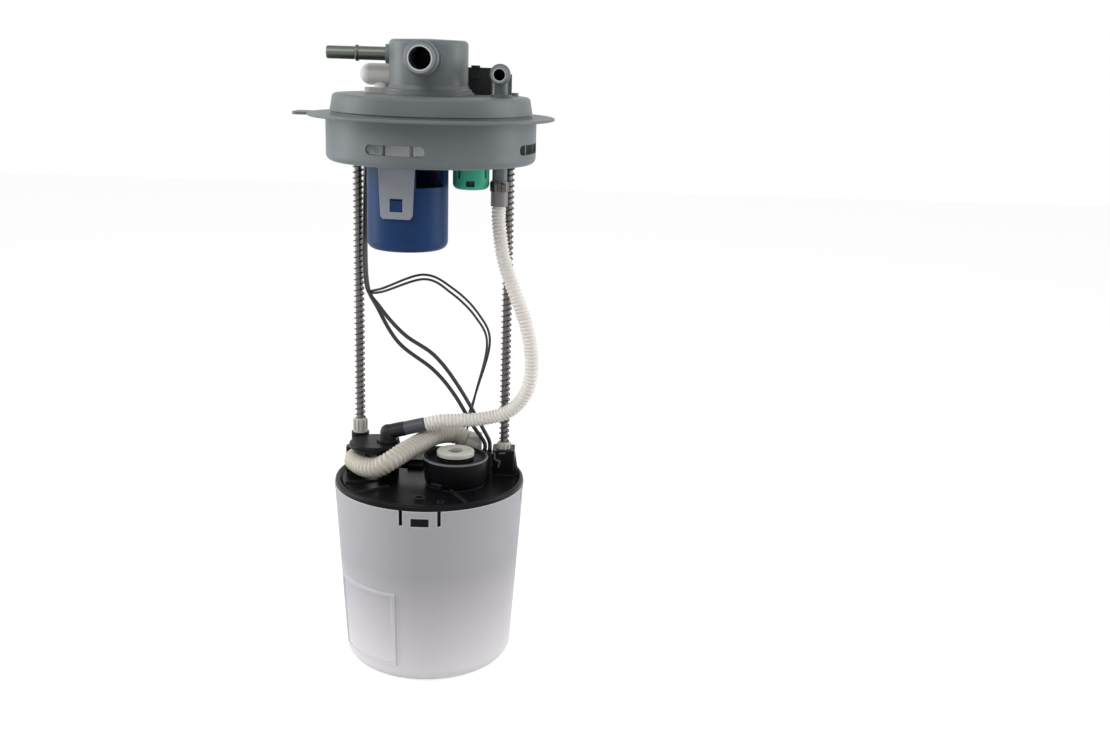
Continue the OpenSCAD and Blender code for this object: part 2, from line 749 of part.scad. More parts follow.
module rod_clip_left() { rod_clip(-1); }
module rod_clip_right() { rod_clip(1); }

module spring_left() {
    color("#5a5c5e") at_rod(-1)
        coil(spring_r, spring_wire_r, rim_z + left_seat_h + bush_h, -socket_depth, spring_pitch);
}

module spring_right() {
    color("#5a5c5e") at_rod(1)
        coil(spring_r, spring_wire_r, rim_z + right_seat_h + bush_h, -socket_depth, spring_pitch);
}

module feed_hose() { color("#e4e1da") cord(feed_route, feed_hose_r, 12); }
module pump_wire_power() { color("#18181a") cord(power_route, pump_wire_r, 8); }
module pump_wire_ground() { color("#3a3a3d") cord(ground_route, pump_wire_r, 8); }
module sender_wire_signal() { color("#2a2a2c") cord(signal_route, sender_wire_r, 8); }
module sender_wire_return() { color("#444448") cord(return_route, sender_wire_r, 8); }

// Outer radius of the reservoir's wall at height z
function wall_r(z) = foot_r + (rim_r - foot_r) * (z - floor_z) / res_h;

res_floor = 2.4;
res_corner = 9;
inner_floor = floor_z + res_floor;
tongue_angle = -90;
slot_w = 2.3;
window_top = 4.8;
pad_x0 = 4;
pad_x1 = 32;
valve_x = 8;
valve_y = 28;
snap_skirt_h = 14;
riser_x = -49;
riser_y = 5;
riser_bore = 2;
transfer_z = -226.5;

module reservoir_wall(inset, bottom, top) {
    corner = res_corner - inset;
    low_r = wall_r(bottom + corner) - inset;
    rotate_extrude() polygon(concat(
        [[0, bottom]],
        arc([low_r - corner, bottom + corner], corner, -90, 0, 6),
        [[wall_r(top) - inset, top], [0, top]]
    ));
}

// Panel with a raised border low on the front left, where the jet pump sits behind it
panel_angle = 202;
panel_sweep = 52;
panel_low = rim_z - 112;
panel_high = rim_z - 59;
panel_lift = 1;
border_w = 2.2;

module panel_sheet(a, s, z0, z1, from, lift) {
    rotate(a) rotate_extrude(angle = s) polygon([
        [wall_r(z0) + from, z0], [wall_r(z0) + lift, z0 + 0.8], [wall_r(z1) + lift, z1 - 0.8], [wall_r(z1) + from, z1]
    ]);
}

module bordered_panel() {
    border_a = border_w / foot_r * 180 / PI;
    difference() {
        panel_sheet(panel_angle, panel_sweep, panel_low, panel_high, -1, panel_lift);
        panel_sheet(panel_angle + border_a, panel_sweep - 2 * border_a, panel_low + border_w,
            panel_high - border_w, 0.35, panel_lift + 2);
    }
}

module reservoir() {
    color("#d6d4d2") difference() {
        union() {
            reservoir_wall(0, floor_z, rim_z);
            bordered_panel();
            block(pad_x0, pad_x1, 40, sender_y, sender_z - 25, sender_z + 27);
        }
        reservoir_wall(res_wall, inner_floor, rim_z + cut);
        for (k = [0:3]) rotate(tongue_angle + 90 * k) {
            for (y = [-tongue_w / 2 - slot_w, tongue_w / 2])
                block(rim_r - 8, rim_r + 4, y, y + slot_w, rim_z - tongue_h, rim_z + cut);
            block(rim_r - 8, rim_r + 4, -window_w / 2, window_w / 2, rim_z - tongue_h, rim_z - window_top);
        }
        translate([valve_x, valve_y, 0]) {
            disc(1.5, floor_z - cut, inner_floor + cut);
            for (k = [0:4]) rotate(72 * k) translate([3.8, 0, 0]) disc(1.3, floor_z - cut, inner_floor + cut);
        }
    }
}

// Cover: beaded deck, snap skirt, pump cup, rod towers and hose port
deck_top = rim_z + 2;
bush_sleeve_r = rod_r + 1.6;
tower_r = 6;
pump_top = rim_z - 3;
pump_low = pump_top - pump_len;
cup_floor = cup_rim_z - 1.4;
cup_ceiling = cup_rim_z - 13.5;
duct_z = cup_rim_z - 8.5;
duct_bore = 2;
pedestal_r = 10.5;
pedestal_top = cup_rim_z + 0.9;
pump_spigot_r = 4.5;
fit_r = wall_r(rim_z - snap_skirt_h) - res_wall - 0.25;

module cover_bead() {
    r = rim_r - 0.4;
    rotate_extrude() polygon(concat(
        [[r - 5.5, deck_top - deck_t], [r - 2.2, deck_top - deck_t], [r - 2.2, rim_z], [r, rim_z]],
        arc([r - 1.8, rim_z + 1.8], 1.8, 0, 120, 6),
        [[r - 4.8, deck_top], [r - 5.5, deck_top]]
    ));
}

// Bowl over the pump's outlet, with a raised middle and a groove round it
module pump_cup() {
    at_pump() {
        rotate_extrude() polygon([
            [0, deck_top - deck_t], [cup_r - 2.4, deck_top - deck_t], [cup_r - 2.2, deck_top],
            [cup_r - 1.2, deck_top + 3], [cup_r - 0.6, deck_top + 7], [cup_r, cup_rim_z - 0.8],
            [cup_r - 0.5, cup_rim_z], [0, cup_rim_z]
        ]);
        rotate(238) block(cup_r - 4, cup_r + 0.2, -4, 4, deck_top + 2, deck_top + 4);
        disc(pedestal_r, cup_floor, pedestal_top);
        disc(pump_r + 2, rim_z - snap_skirt_h, deck_top);
    }
}

// Round bar of radius r from the pump's outlet to the manifold's column
module outlet_duct(r) {
    run = [manifold_elbow_x - pump_x, manifold_elbow_y - pump_y];
    translate([pump_x, pump_y, duct_z]) rotate([0, 90, atan2(run[1], run[0])])
        cylinder(r = r, h = norm(run));
}

module rod_tower(side, seat_h) {
    at_rod(side) disc(tower_r, rim_z - 6, rim_z + seat_h);
}

module right_bracket() {
    top = rim_z + 19.3;
    at_rod(1) {
        soft_block(-7.5, 7.5, -7.5, 7.5, deck_top - 1, top, 1.2);
        for (y = [-6, 4.4]) translate([7, y + 1.6, 0]) rotate([90, 0, 0]) linear_extrude(1.6)
            polygon([[0, deck_top - 1], [3.2, deck_top - 1], [2.2, deck_top + 3], [0, top - 1]]);
    }
}

module reservoir_cover() {
    color("#17171a") difference() {
        union() {
            disc(rim_r - 5, deck_top - deck_t, deck_top);
            cover_bead();
            difference() {
                disc(fit_r, rim_z - snap_skirt_h, deck_top - 1);
                disc(fit_r - 1.8, rim_z - snap_skirt_h - cut, deck_top - deck_t);
            }
            intersection() {
                for (k = [0:3]) rotate(tongue_angle + 90 * k)
                    block(fit_r - 1, rim_r, 0.3 - window_w / 2, window_w / 2 - 0.3,
                        rim_z - tongue_h + 0.2, rim_z - window_top - 0.2);
                reservoir_wall(0.4, floor_z, rim_z);
            }
            pump_cup();
            outlet_duct(duct_bore + 1.6);
            rod_tower(-1, left_seat_h);
            rod_tower(1, right_seat_h);
            right_bracket();
            soft_block(-57, -43, 1, 8.4, deck_top - 1, -219.6, 2);
            translate([-2, -46, 0]) disc(4, deck_top - 1, deck_top + 1.6);
            translate([12, -50, 0]) disc(2.2, deck_top - 1, deck_top + 1);
            for (rib = [[200, 34], [222, 34], [300, 34], [26, 38.5], [62, 34], [110, 34]])
                rotate(rib[0]) block(rib[1], rim_r - 6, -0.8, 0.8, deck_top - 1, deck_top + 1.2);
            block(-17, -6, 14, 15.4, deck_top - 1, deck_top + 3);
        }
        at_pump() {
            disc(pump_r, rim_z - snap_skirt_h - cut, pump_top);
            disc(pump_r - 2, pump_top - cut, cup_ceiling);
            ring(cup_r - 2.2, pedestal_r, cup_floor, cup_rim_z);
            disc(pump_spigot_r, cup_ceiling - cut, cup_ceiling + 2);
            disc(pump_spigot_r - 1.5, cup_ceiling, duct_z + duct_bore + 0.6);
        }
        outlet_duct(duct_bore);
        at_manifold_elbow() disc(column_r, deck_top, manifold_top);
        for (side = [-1, 1]) at_rod(side) disc(bush_sleeve_r, rim_z - 6 - cut, rim_z + 40);
        at_rod(1) disc(bush_collar_r + 0.3, rim_z + right_seat_h, rim_z + 40);
        translate([-2, -46, 0]) disc(2.6, deck_top + 0.4, deck_top + 3);
        translate([riser_x, riser_y, 0]) disc(riser_bore, deck_top - deck_t - cut, transfer_z);
        translate([-50, 0, transfer_z]) rotate([-90, 0, 0]) cylinder(r = riser_bore, h = riser_y);
        translate([20, 44, 0]) disc(5, deck_top - deck_t - cut, deck_top + cut);
    }
}

// Ribbed bush in each tower: the rod runs in it and the spring stands on it
bush_collar_r = 4.9;

module rod_bush(side, seat_h) {
    seat = rim_z + seat_h;
    color("#d8d6d0") at_rod(side) difference() {
        union() {
            disc(bush_sleeve_r, bush_foot, seat);
            disc(bush_collar_r, seat, seat + 1.6);
            disc(bush_collar_r - 1, seat + 1.6, seat + bush_h);
            for (k = [0:9]) rotate(36 * k)
                block(bush_collar_r - 1.4, bush_collar_r, -0.7, 0.7, seat + 1.4, seat + bush_h - 1);
        }
        disc(rod_r + rod_gap, bush_foot - cut, seat + bush_h + cut);
    }
}

module rod_bush_left() { rod_bush(-1, left_seat_h); }
module rod_bush_right() { rod_bush(1, right_seat_h); }

// Manifold under the left rod that joins the pump outlet to the feed hose
module outlet_manifold() {
    plate_t = 4;
    color("#141416") difference() {
        union() {
            translate([manifold_x, manifold_y, manifold_top]) rotate_extrude() polygon(concat(
                [[0, -plate_t], [manifold_r - 1, -plate_t], [manifold_r, 1.2 - plate_t]],
                arc([manifold_r - 1.5, -1.5], 1.5, 0, 90, 4), [[0, 0]]
            ));
            at_manifold_elbow() disc(column_r, deck_top, manifold_top);
        }
        at_rod(-1) disc(tower_r + 0.2, manifold_top - 6, manifold_top + cut);
        at_manifold_elbow() disc(3, deck_top + 4, manifold_top + cut);
        outlet_duct(duct_bore);
    }
}

// Elbow on the manifold; its barrel climbs by elbow_rise for each millimetre run
elbow_z = -207;
elbow_r = 5.2;
elbow_rise = 0.25;
barrel_len = 11.5;
barrel_run = 25;
barrel_tilt = atan(elbow_rise);
cuff_end = barrel_run / cos(barrel_tilt);

module at_barrel() {
    at_manifold_elbow() translate([0, 0, elbow_z]) rotate([0, 90 - barrel_tilt, 0]) children();
}

module manifold_elbow() {
    color("#1b1b1e") difference() {
        union() {
            at_manifold_elbow() {
                disc(7.6, manifold_top, manifold_top + 1.4);
                disc(elbow_r, manifold_top, elbow_z);
                translate([0, 0, elbow_z]) sphere(r = elbow_r);
            }
            at_barrel() {
                disc(elbow_r - 0.3, 0, barrel_len);
                disc(3, barrel_len, cuff_end - 2);
                for (s = [15, 19]) cone(3.4, 3, s, s + 2);
            }
        }
        at_manifold_elbow() {
            disc(1.8, manifold_top - cut, elbow_z);
            translate([0, 0, elbow_z]) sphere(r = 2.4);
        }
        at_barrel() disc(duct_bore, 0, cuff_end);
    }
}

module manifold_cuff() {
    color("#4b4d54") at_barrel() difference() {
        union() {
            disc(4.7, barrel_len, cuff_end - 1);
            cone(4.7, 4.3, cuff_end - 1, cuff_end);
        }
        disc(3.4, barrel_len - cut, cuff_end + cut);
    }
}

module transfer_hose() { color("#c4beb4") cord(transfer_route, transfer_hose_r, 12); }

// Light block that takes the hose down into the deck behind the pump cup
module transfer_fitting() {
    start = transfer_route[0];
    bend = transfer_route[1] - start;
    lean = 90 + atan2(bend[2], -bend[0]);
    color("#c9c5bd") intersection() {
        union() {
            soft_block(start[0] - 1, start[0] + 10.5, start[1] - 6, start[1] + 6, deck_top, start[2] + 4, 1);
            translate(start) rotate([0, lean, 0]) disc(transfer_hose_r, 0, 9);
        }
        translate(start) rotate([0, lean, 0]) disc(40, 0, 40);
    }
}

module isolator_disc() {
    top = pedestal_top + 2.9;
    color("#d4d2cc") at_pump() difference() {
        rotate_extrude() polygon(concat(
            [[5, pedestal_top], [12.4, pedestal_top]],
            arc([11.6, top - 0.8], 0.8, 0, 90, 4),
            [[5.6, top], [5, top - 0.5]]
        ));
        for (k = [0:2]) rotate(120 * k + 20) translate([9, 0, 0]) disc(0.8, top - 1, top + cut);
    }
}

module pump_plug() {
    color("#1c1c1f") {
        soft_block(33.9, 41.2, 6, 12, deck_top, -222, 1);
        block(36.4, 38.6, 12, 13, deck_top + 3, -225);
    }
}

module ground_clip() {
    face = rod_y - 7.5;
    color("#b9bdc2") translate([0, face, 0]) rotate([90, 0, 0]) linear_extrude(0.8) {
        polygon([[42.5, -221.5], [43.6, -221.5], [44, -226], [47.6, -227.6], [46.4, -232.4],
            [45.2, -232.2], [46, -228.6], [42.8, -227]]);
        polygon([[46, -222], [50.5, -221.4], [50.5, -222.4], [46, -223]]);
    }
}

// Steel case with its ends rolled in over the bell and the base
roll = 1;

module pump_case() {
    inner = pump_r - pump_wall;
    color("#a7abb0") at_pump() rotate_extrude() polygon([
        [inner - roll, pump_low], [pump_r - 0.6, pump_low], [pump_r, pump_low + 0.6],
        [pump_r, pump_top - 0.6], [pump_r - 0.6, pump_top], [inner - roll, pump_top],
        [inner - roll, pump_top - roll], [inner, pump_top - roll], [inner, pump_low + roll],
        [inner - roll, pump_low + roll]
    ]);
}

bell_low = pump_top - 11;
commutator_top = bell_low - 2;
bearing_gap = 0.03;

module pump_end_bell() {
    inner = pump_r - pump_wall;
    color("#232327") at_pump() difference() {
        union() {
            disc(inner, bell_low, pump_top - roll);
            disc(inner - roll, pump_top - roll, pump_top + 5);
            disc(pump_spigot_r, pump_top + 5, cup_ceiling + 1);
            for (a = [0, 180]) rotate(a) block(8.5, 14.5, -3.4, 3.4, bell_low - 11, bell_low);
            for (y = [-8, 8]) block(9, 12, y - 1, y + 1, pump_top + 5, pump_top + 8);
        }
        disc(shaft_r + bearing_gap, bell_low - cut, shaft_top + 0.5);
        for (a = [0, 180]) rotate(a) block(7, 13, -2.2, 2.2, bell_low - 9, bell_low - 2);
        translate([0, -12, 0]) disc(1.5, bell_low - cut, pump_top + 3);
        block(-1.5, 1.5, -12, 0, pump_top + 1, pump_top + 3);
        disc(duct_bore, pump_top + 1, cup_ceiling + 3);
    }
}

module pump_brushes() {
    color("#3c3a38") at_pump() for (a = [0, 180]) rotate(a)
        block(7.3, 12.5, -2.2, 2.2, bell_low - 9, bell_low - 2);
}

module field_magnets() {
    inner = pump_r - pump_wall;
    color("#4a4643") at_pump() for (a = [20, 200])
        sector(armature_r + 0.7, inner, base_top + 4, bell_low - 14, a, 140);
}

base_top = pump_low + 12;
impeller_z = pump_low + 4.5;
impeller_h = 3.5;
impeller_r = pump_r - pump_wall - 1.7;
shaft_foot = pump_low + 2.5;
shaft_top = pump_top - 5.5;
inlet_x = 11;

// Pump base with the impeller's chamber, its inlet neck and the lower bearing
module pump_base() {
    inner = pump_r - pump_wall;
    color("#2e2e33") at_pump() difference() {
        union() {
            disc(inner, pump_low + roll, base_top);
            disc(inner - roll, pump_low, pump_low + roll);
            translate([inlet_x, 0, 0]) disc(4.4, strainer_top + 0.5, pump_low);
        }
        disc(impeller_r + 0.3, impeller_z - 0.3, impeller_z + impeller_h + 0.3);
        disc(shaft_r + bearing_gap, shaft_foot, base_top + cut);
        translate([inlet_x, 0, 0]) disc(3, strainer_top - cut, impeller_z);
        rotate(130) translate([inlet_x, 0, 0]) disc(3, impeller_z, base_top + cut);
    }
}

module motor_shaft() {
    color("#c3c6c9") at_pump() disc(shaft_r, shaft_foot, shaft_top);
}

module armature() {
    z0 = base_top + 5;
    z1 = commutator_top - 12;
    color("#8a4a2a") at_pump() difference() {
        union() {
            disc(armature_r, z0 + 4, z1 - 4);
            cone(9, armature_r - 1.2, z0, z0 + 4);
            cone(armature_r - 1.2, 9, z1 - 4, z1);
        }
        for (k = [0:7]) rotate(45 * k) block(7.5, armature_r + cut, -1.1, 1.1, z0 + 4, z1 - 4);
        disc(shaft_r, z0 - cut, z1 + cut);
    }
}

module commutator() {
    color("#b8763a") at_pump() difference() {
        union() {
            disc(7, commutator_top - 9, commutator_top);
            disc(4.5, commutator_top - 12, commutator_top - 9);
        }
        for (k = [0:7]) rotate(45 * k) block(6, 8, -0.3, 0.3, commutator_top - 8, commutator_top + cut);
        disc(shaft_r, commutator_top - 12 - cut, commutator_top + cut);
    }
}

module impeller() {
    color("#5a3f2c") at_pump() difference() {
        disc(impeller_r, impeller_z, impeller_z + impeller_h);
        for (k = [0:vane_count - 1]) rotate(360 * k / vane_count)
            block(impeller_r - 3, impeller_r - 0.6, -0.9, 0.9, impeller_z - cut, impeller_z + impeller_h + cut);
        disc(shaft_r, impeller_z - cut, impeller_z + impeller_h + cut);
    }
}

strainer_top = inner_floor + 10;

// Filter sock under the pump, with the collar that grips the inlet neck
module strainer() {
    color("#e8e6de") at_pump() difference() {
        union() {
            soft_block(-20, 20, -12, 12, inner_floor, strainer_top, 8);
            translate([inlet_x, 0, 0]) disc(6.4, strainer_top, strainer_top + 7);
        }
        translate([inlet_x, 0, 0]) disc(4.4, strainer_top + 0.5, strainer_top + 9);
        translate([inlet_x, 0, 0]) disc(2.6, strainer_top - 4, strainer_top + 9);
    }
}

// Jet pump on the floor, fed by a riser from the hose port in the cover
module jet_pump() {
    nozzle_z = inner_floor + 7;
    color("#2b2b30") difference() {
        union() {
            translate([riser_x, riser_y, 0]) disc(2.8, nozzle_z, deck_top - deck_t);
            soft_block(-51.5, -24, 0, 9, inner_floor + 3, inner_floor + 11, 3);
            block(-42, -30, 2, 7, inner_floor, inner_floor + 4);
            translate([-25, riser_y - 0.5, nozzle_z]) rotate([0, 90, 0]) cylinder(r = 3.6, h = 13);
        }
        translate([riser_x, riser_y, 0]) disc(riser_bore, nozzle_z, deck_top);
        translate([riser_x, riser_y - 0.5, nozzle_z]) rotate([0, 90, 0]) cylinder(r = 1.4, h = 20);
        translate([-30, riser_y - 0.5, nozzle_z]) rotate([0, 90, 0]) cylinder(r = 2.2, h = 20);
    }
}

module foot_valve() {
    color("#b5562c") translate([valve_x, valve_y, 0]) {
        rotate_extrude() polygon(concat([[0, inner_floor], [6, inner_floor]],
            [[5.6, inner_floor + 0.9], [2.5, inner_floor + 1.6], [1.6, inner_floor + 4], [0, inner_floor + 4]]));
        disc(1.5, floor_z + 0.6, inner_floor);
    }
}

// Level sender clipped on the reservoir's back
plane_y = 72;
hub_r = 7;
arm_root = 5.5;
stop_r = 1.5;

module at_pivot(y) { translate([sender_x, y, sender_z]) rotate([-90, 0, 0]) children(); }

// Turns children so that their X axis points along the float arm at rest
module along_arm() {
    translate([sender_x, plane_y, sender_z]) rotate([0, 180 - arm_drop, 0]) children();
}

module sender_housing() {
    stop_reach = 20;
    stop_off = arm_wire_r + stop_r + 0.05;
    a = 180 + arm_drop;
    color("#202024") difference() {
        union() {
            block(pad_x0, pad_x1, sender_y, sender_y + 4.4, sender_z - 25, sender_z + 27);
            at_pivot(sender_y + 4) disc(pivot_r, 0, 11);
            at_pivot(sender_y + 13) disc(pivot_r + 1.2, 0, 1.4);
            translate([stop_reach * cos(a) - stop_off * sin(a), 0, stop_reach * sin(a) + stop_off * cos(a)])
                at_pivot(sender_y + 4) disc(stop_r, 0, 6.5);
        }
        at_pivot(sender_y + 3.4) sector(9, 20, 0, 2, 60, 100);
        block(pad_x0 + 4, pad_x1 - 4, sender_y + 3.4, sender_y + 6, sender_z - 22, sender_z - 18);
    }
}

// Plug on the housing's terminals, which stand above its pivot
module sender_plug() {
    color("#2f2f34") soft_block(sender_x - 4.5, sender_x + 5.5, sender_y + 4.4, sender_y + 10.4,
        sender_z + 18, sender_z + 28, 1);
}

module float_hub() {
    color("#e0ddd2") difference() {
        union() {
            at_pivot(plane_y - 2.6) disc(hub_r, 0, 5);
            along_arm() block(pivot_r + 1, 15, -2.2, 2.2, -2.2, 2.2);
            at_pivot(plane_y - 3.2) rotate(120) block(pivot_r + 1, 16, -1.2, 1.2, 0, 1.4);
        }
        at_pivot(plane_y - 5) disc(pivot_r + 0.05, 0, 12);
        along_arm() translate([arm_root, 0, 0]) rotate([0, 90, 0]) cylinder(r = arm_wire_r, h = 20);
    }
}

module float_arm() {
    color("#b5b8bb") along_arm() translate([arm_root, 0, 0]) rotate([0, 90, 0])
        cylinder(r = arm_wire_r, h = arm_len + 9 - arm_root);
}

module level_float() {
    color("#26262a") difference() {
        along_arm() translate([arm_len, 0, 0]) rotate([90, 0, 0])
            soft_block(-15, 15, -8, 8, -5.5, 5.5, 4);
        along_arm() translate([0, 0, 0]) rotate([0, 90, 0])
            cylinder(r = arm_wire_r, h = arm_len + 9);
    }
}

flange();
valve_carrier();
vent_dome();
vapour_tube();
pressure_sensor();
sensor_grommet();
electrical_connector();
connector_pins();
harness_plug();
outlet_elbow();
outlet_cuff();
hose_clamp();
vent_valve_can();
vent_valve_cap();
vent_valve_seal();
vent_valve_float();
vent_valve_spring();
rollover_valve_body();
rollover_valve_cap();
rollover_valve_float();
guide_rod_left();
guide_rod_right();
rod_clip_left();
rod_clip_right();
spring_left();
spring_right();
feed_hose();
pump_wire_power();
pump_wire_ground();
sender_wire_signal();
sender_wire_return();
reservoir();
reservoir_cover();
rod_bush_left();
rod_bush_right();
outlet_manifold();
manifold_elbow();
manifold_cuff();
transfer_hose();
transfer_fitting();
isolator_disc();
pump_plug();
ground_clip();
pump_case();
pump_end_bell();
pump_brushes();
field_magnets();
pump_base();
motor_shaft();
armature();
commutator();
impeller();
strainer();
jet_pump();
foot_valve();
sender_housing();
sender_plug();
float_hub();
float_arm();
level_float();
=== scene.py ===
# %% [markdown]
# An in-tank fuel pump module: a grey tank flange with its vent dome and pipes, two sprung
# guide rods, a blue and a green valve, and a pale reservoir with a black cover below.
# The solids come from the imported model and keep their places. This file gives them their
# finishes and models what a plain solid can't show: corrugated hoses, wires and wound springs.

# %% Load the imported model
import math

import bmesh
import bpy
from mathutils import Matrix, Vector


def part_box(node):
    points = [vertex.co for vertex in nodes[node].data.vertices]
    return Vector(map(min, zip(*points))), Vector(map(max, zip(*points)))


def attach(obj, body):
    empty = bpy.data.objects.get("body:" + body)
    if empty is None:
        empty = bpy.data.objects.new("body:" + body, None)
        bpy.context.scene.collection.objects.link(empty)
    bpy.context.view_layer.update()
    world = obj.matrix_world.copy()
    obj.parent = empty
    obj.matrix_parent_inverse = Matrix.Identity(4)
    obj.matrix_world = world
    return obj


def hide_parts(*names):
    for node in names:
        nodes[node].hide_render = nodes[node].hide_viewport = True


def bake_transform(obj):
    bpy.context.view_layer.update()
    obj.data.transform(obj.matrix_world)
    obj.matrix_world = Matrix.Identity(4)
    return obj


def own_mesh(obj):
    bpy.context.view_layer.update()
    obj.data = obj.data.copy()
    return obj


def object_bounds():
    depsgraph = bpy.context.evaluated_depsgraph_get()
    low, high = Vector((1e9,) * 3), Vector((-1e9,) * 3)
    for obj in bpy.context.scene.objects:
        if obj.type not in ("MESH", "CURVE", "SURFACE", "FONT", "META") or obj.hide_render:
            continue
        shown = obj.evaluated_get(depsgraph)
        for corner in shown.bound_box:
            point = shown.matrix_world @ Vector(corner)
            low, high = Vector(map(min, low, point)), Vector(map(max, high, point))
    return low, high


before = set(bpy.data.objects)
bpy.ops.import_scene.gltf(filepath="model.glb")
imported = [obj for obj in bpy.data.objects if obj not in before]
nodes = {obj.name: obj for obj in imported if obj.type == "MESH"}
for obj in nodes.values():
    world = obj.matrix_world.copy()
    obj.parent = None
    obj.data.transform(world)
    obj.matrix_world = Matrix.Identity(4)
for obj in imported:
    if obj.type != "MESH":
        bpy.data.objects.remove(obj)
cad_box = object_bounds()
print("nodes", len(nodes), "box", cad_box)

# %% [markdown]
# The camera stands in front and looks down on the module by 14.3 degrees. The photographed
# module leans a little to the right at its head, so the camera is rolled instead and the
# module stays upright. Its place follows from where the flange's centre lands in the picture.
# It could be set by eye. Worked out, it keeps the size and the slant right together.

# %% Camera
PICTURE = (1110, 740)
SENSOR_MM = 36
FOCAL_PX = 1250
PITCH = math.radians(14.3)
ROLL = math.radians(1.75)
FLANGE_AT = (431.8, 117.6)
FLANGE_FAR = 0.7867

camera = bpy.data.objects.new("camera", bpy.data.cameras.new("camera"))
bpy.context.collection.objects.link(camera)
camera.data.sensor_width = SENSOR_MM
camera.data.lens = SENSOR_MM * FOCAL_PX / PICTURE[0]
turn = Matrix.Rotation(math.pi / 2 - PITCH, 4, "X") @ Matrix.Rotation(ROLL, 4, "Z")
right_of_middle = FLANGE_AT[0] - PICTURE[0] / 2
above_middle = PICTURE[1] / 2 - FLANGE_AT[1]
seen = Vector((right_of_middle / FOCAL_PX, above_middle / FOCAL_PX, -1)) * FLANGE_FAR
camera.matrix_world = Matrix.Translation(-(turn.to_3x3() @ seen)) @ turn
bpy.context.scene.camera = camera
bpy.context.scene.view_settings.view_transform = "Standard"
print("camera at", [round(x, 4) for x in camera.matrix_world.translation])

# %% [markdown]
# Every material starts from the same few steps. Their patterns read Object coordinates, so
# they stay on the piece when it moves. A cloud of noise is turned into a colour by a ramp
# between two shades. A picture wrapped round the piece would need the surface unrolled first.
# Noise needs no unrolling and has no seam.

# %% Steps that all materials share
MIX_UNDER, MIX_OVER, MIX_OUT = 6, 7, 2  # the colour sockets of a Mix node


def new_material(name, color, rough, metal=0.0):
    material = bpy.data.materials.new(name)
    material.use_nodes = True
    shader = material.node_tree.nodes["Principled BSDF"]
    shader.inputs["Base Color"].default_value = (*color, 1)
    shader.inputs["Roughness"].default_value = rough
    shader.inputs["Metallic"].default_value = metal
    return material, material.node_tree, shader


def noise(tree, scale, detail=3.0, stretch=(1, 1, 1)):
    place = tree.nodes.new("ShaderNodeTexCoord")
    mapping = tree.nodes.new("ShaderNodeMapping")
    mapping.inputs["Scale"].default_value = stretch
    pattern = tree.nodes.new("ShaderNodeTexNoise")
    pattern.inputs["Scale"].default_value = scale
    pattern.inputs["Detail"].default_value = detail
    tree.links.new(place.outputs["Object"], mapping.inputs["Vector"])
    tree.links.new(mapping.outputs["Vector"], pattern.inputs["Vector"])
    return pattern.outputs["Fac"]


def ramp(tree, source, low, high, start=0.35, end=0.65):
    blend = tree.nodes.new("ShaderNodeValToRGB")
    blend.color_ramp.elements[0].position = start
    blend.color_ramp.elements[0].color = (*low, 1)
    blend.color_ramp.elements[1].position = end
    blend.color_ramp.elements[1].color = (*high, 1)
    tree.links.new(source, blend.inputs["Fac"])
    return blend.outputs["Color"]


def shade(color, factor):
    return tuple(min(1.0, c * factor) for c in color)


def base_color(material):
    return material.node_tree.nodes["Principled BSDF"].inputs["Base Color"]


def mix_over(material, factor, color):
    tree, paint = material.node_tree, base_color(material)
    mix = tree.nodes.new("ShaderNodeMix")
    mix.data_type = "RGBA"
    tree.links.new(factor, mix.inputs["Factor"])
    tree.links.new(paint.links[0].from_socket, mix.inputs[MIX_UNDER])
    mix.inputs[MIX_OVER].default_value = (*color, 1)
    tree.links.new(mix.outputs[MIX_OUT], paint)


print("shared steps ready")

# %% [markdown]
# A moulded plastic has a soft change of tone over the piece, patches that are a little duller
# or glossier, and a fine grain that bends the light. A small bevel lets its sharp edges catch
# the light. It could be cut into each mesh, but the Bevel node rounds the light on all edges
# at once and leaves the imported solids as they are.

# %% Moulded plastic
GRAIN_HEIGHT = 0.0002
ROUGH_SPREAD = 0.08
PATCHES_PER_CLOUD = 6


def moulded(name, color, rough=0.45, tone=0.08, grain=900.0, depth=0.08, edge=0.0004,
            cloud=28.0, mirror=0.5):
    material, tree, shader = new_material(name, color, rough)
    shader.inputs["Specular IOR Level"].default_value = mirror
    clouds = noise(tree, cloud, detail=4)
    tones = ramp(tree, clouds, shade(color, 1 - tone), shade(color, 1 + tone))
    tree.links.new(tones, shader.inputs["Base Color"])
    spread = tree.nodes.new("ShaderNodeMapRange")
    spread.inputs["To Min"].default_value = rough - ROUGH_SPREAD
    spread.inputs["To Max"].default_value = rough + ROUGH_SPREAD
    tree.links.new(noise(tree, cloud * PATCHES_PER_CLOUD, detail=5), spread.inputs["Value"])
    tree.links.new(spread.outputs["Result"], shader.inputs["Roughness"])
    bevel = tree.nodes.new("ShaderNodeBevel")
    bevel.samples = 4
    bevel.inputs["Radius"].default_value = edge
    bump = tree.nodes.new("ShaderNodeBump")
    bump.inputs["Strength"].default_value = depth
    bump.inputs["Distance"].default_value = GRAIN_HEIGHT
    tree.links.new(noise(tree, grain, detail=2), bump.inputs["Height"])
    tree.links.new(bevel.outputs["Normal"], bump.inputs["Normal"])
    tree.links.new(bump.outputs["Normal"], shader.inputs["Normal"])
    return material


print("moulded plastic ready")

# %% [markdown]
# A rounded edge catches the light and looks paler than the faces beside it, so a painted
# highlight is laid along it. Where the rounded normal leaves the flat one, the surface is near
# an edge, and the paler colour is laid over it there. Edges could be painted by hand, but found
# this way they follow the shape by themselves.

# %% Painted edge highlights
FACE_AGREES, EDGE_AGREES = 0.995, 0.90


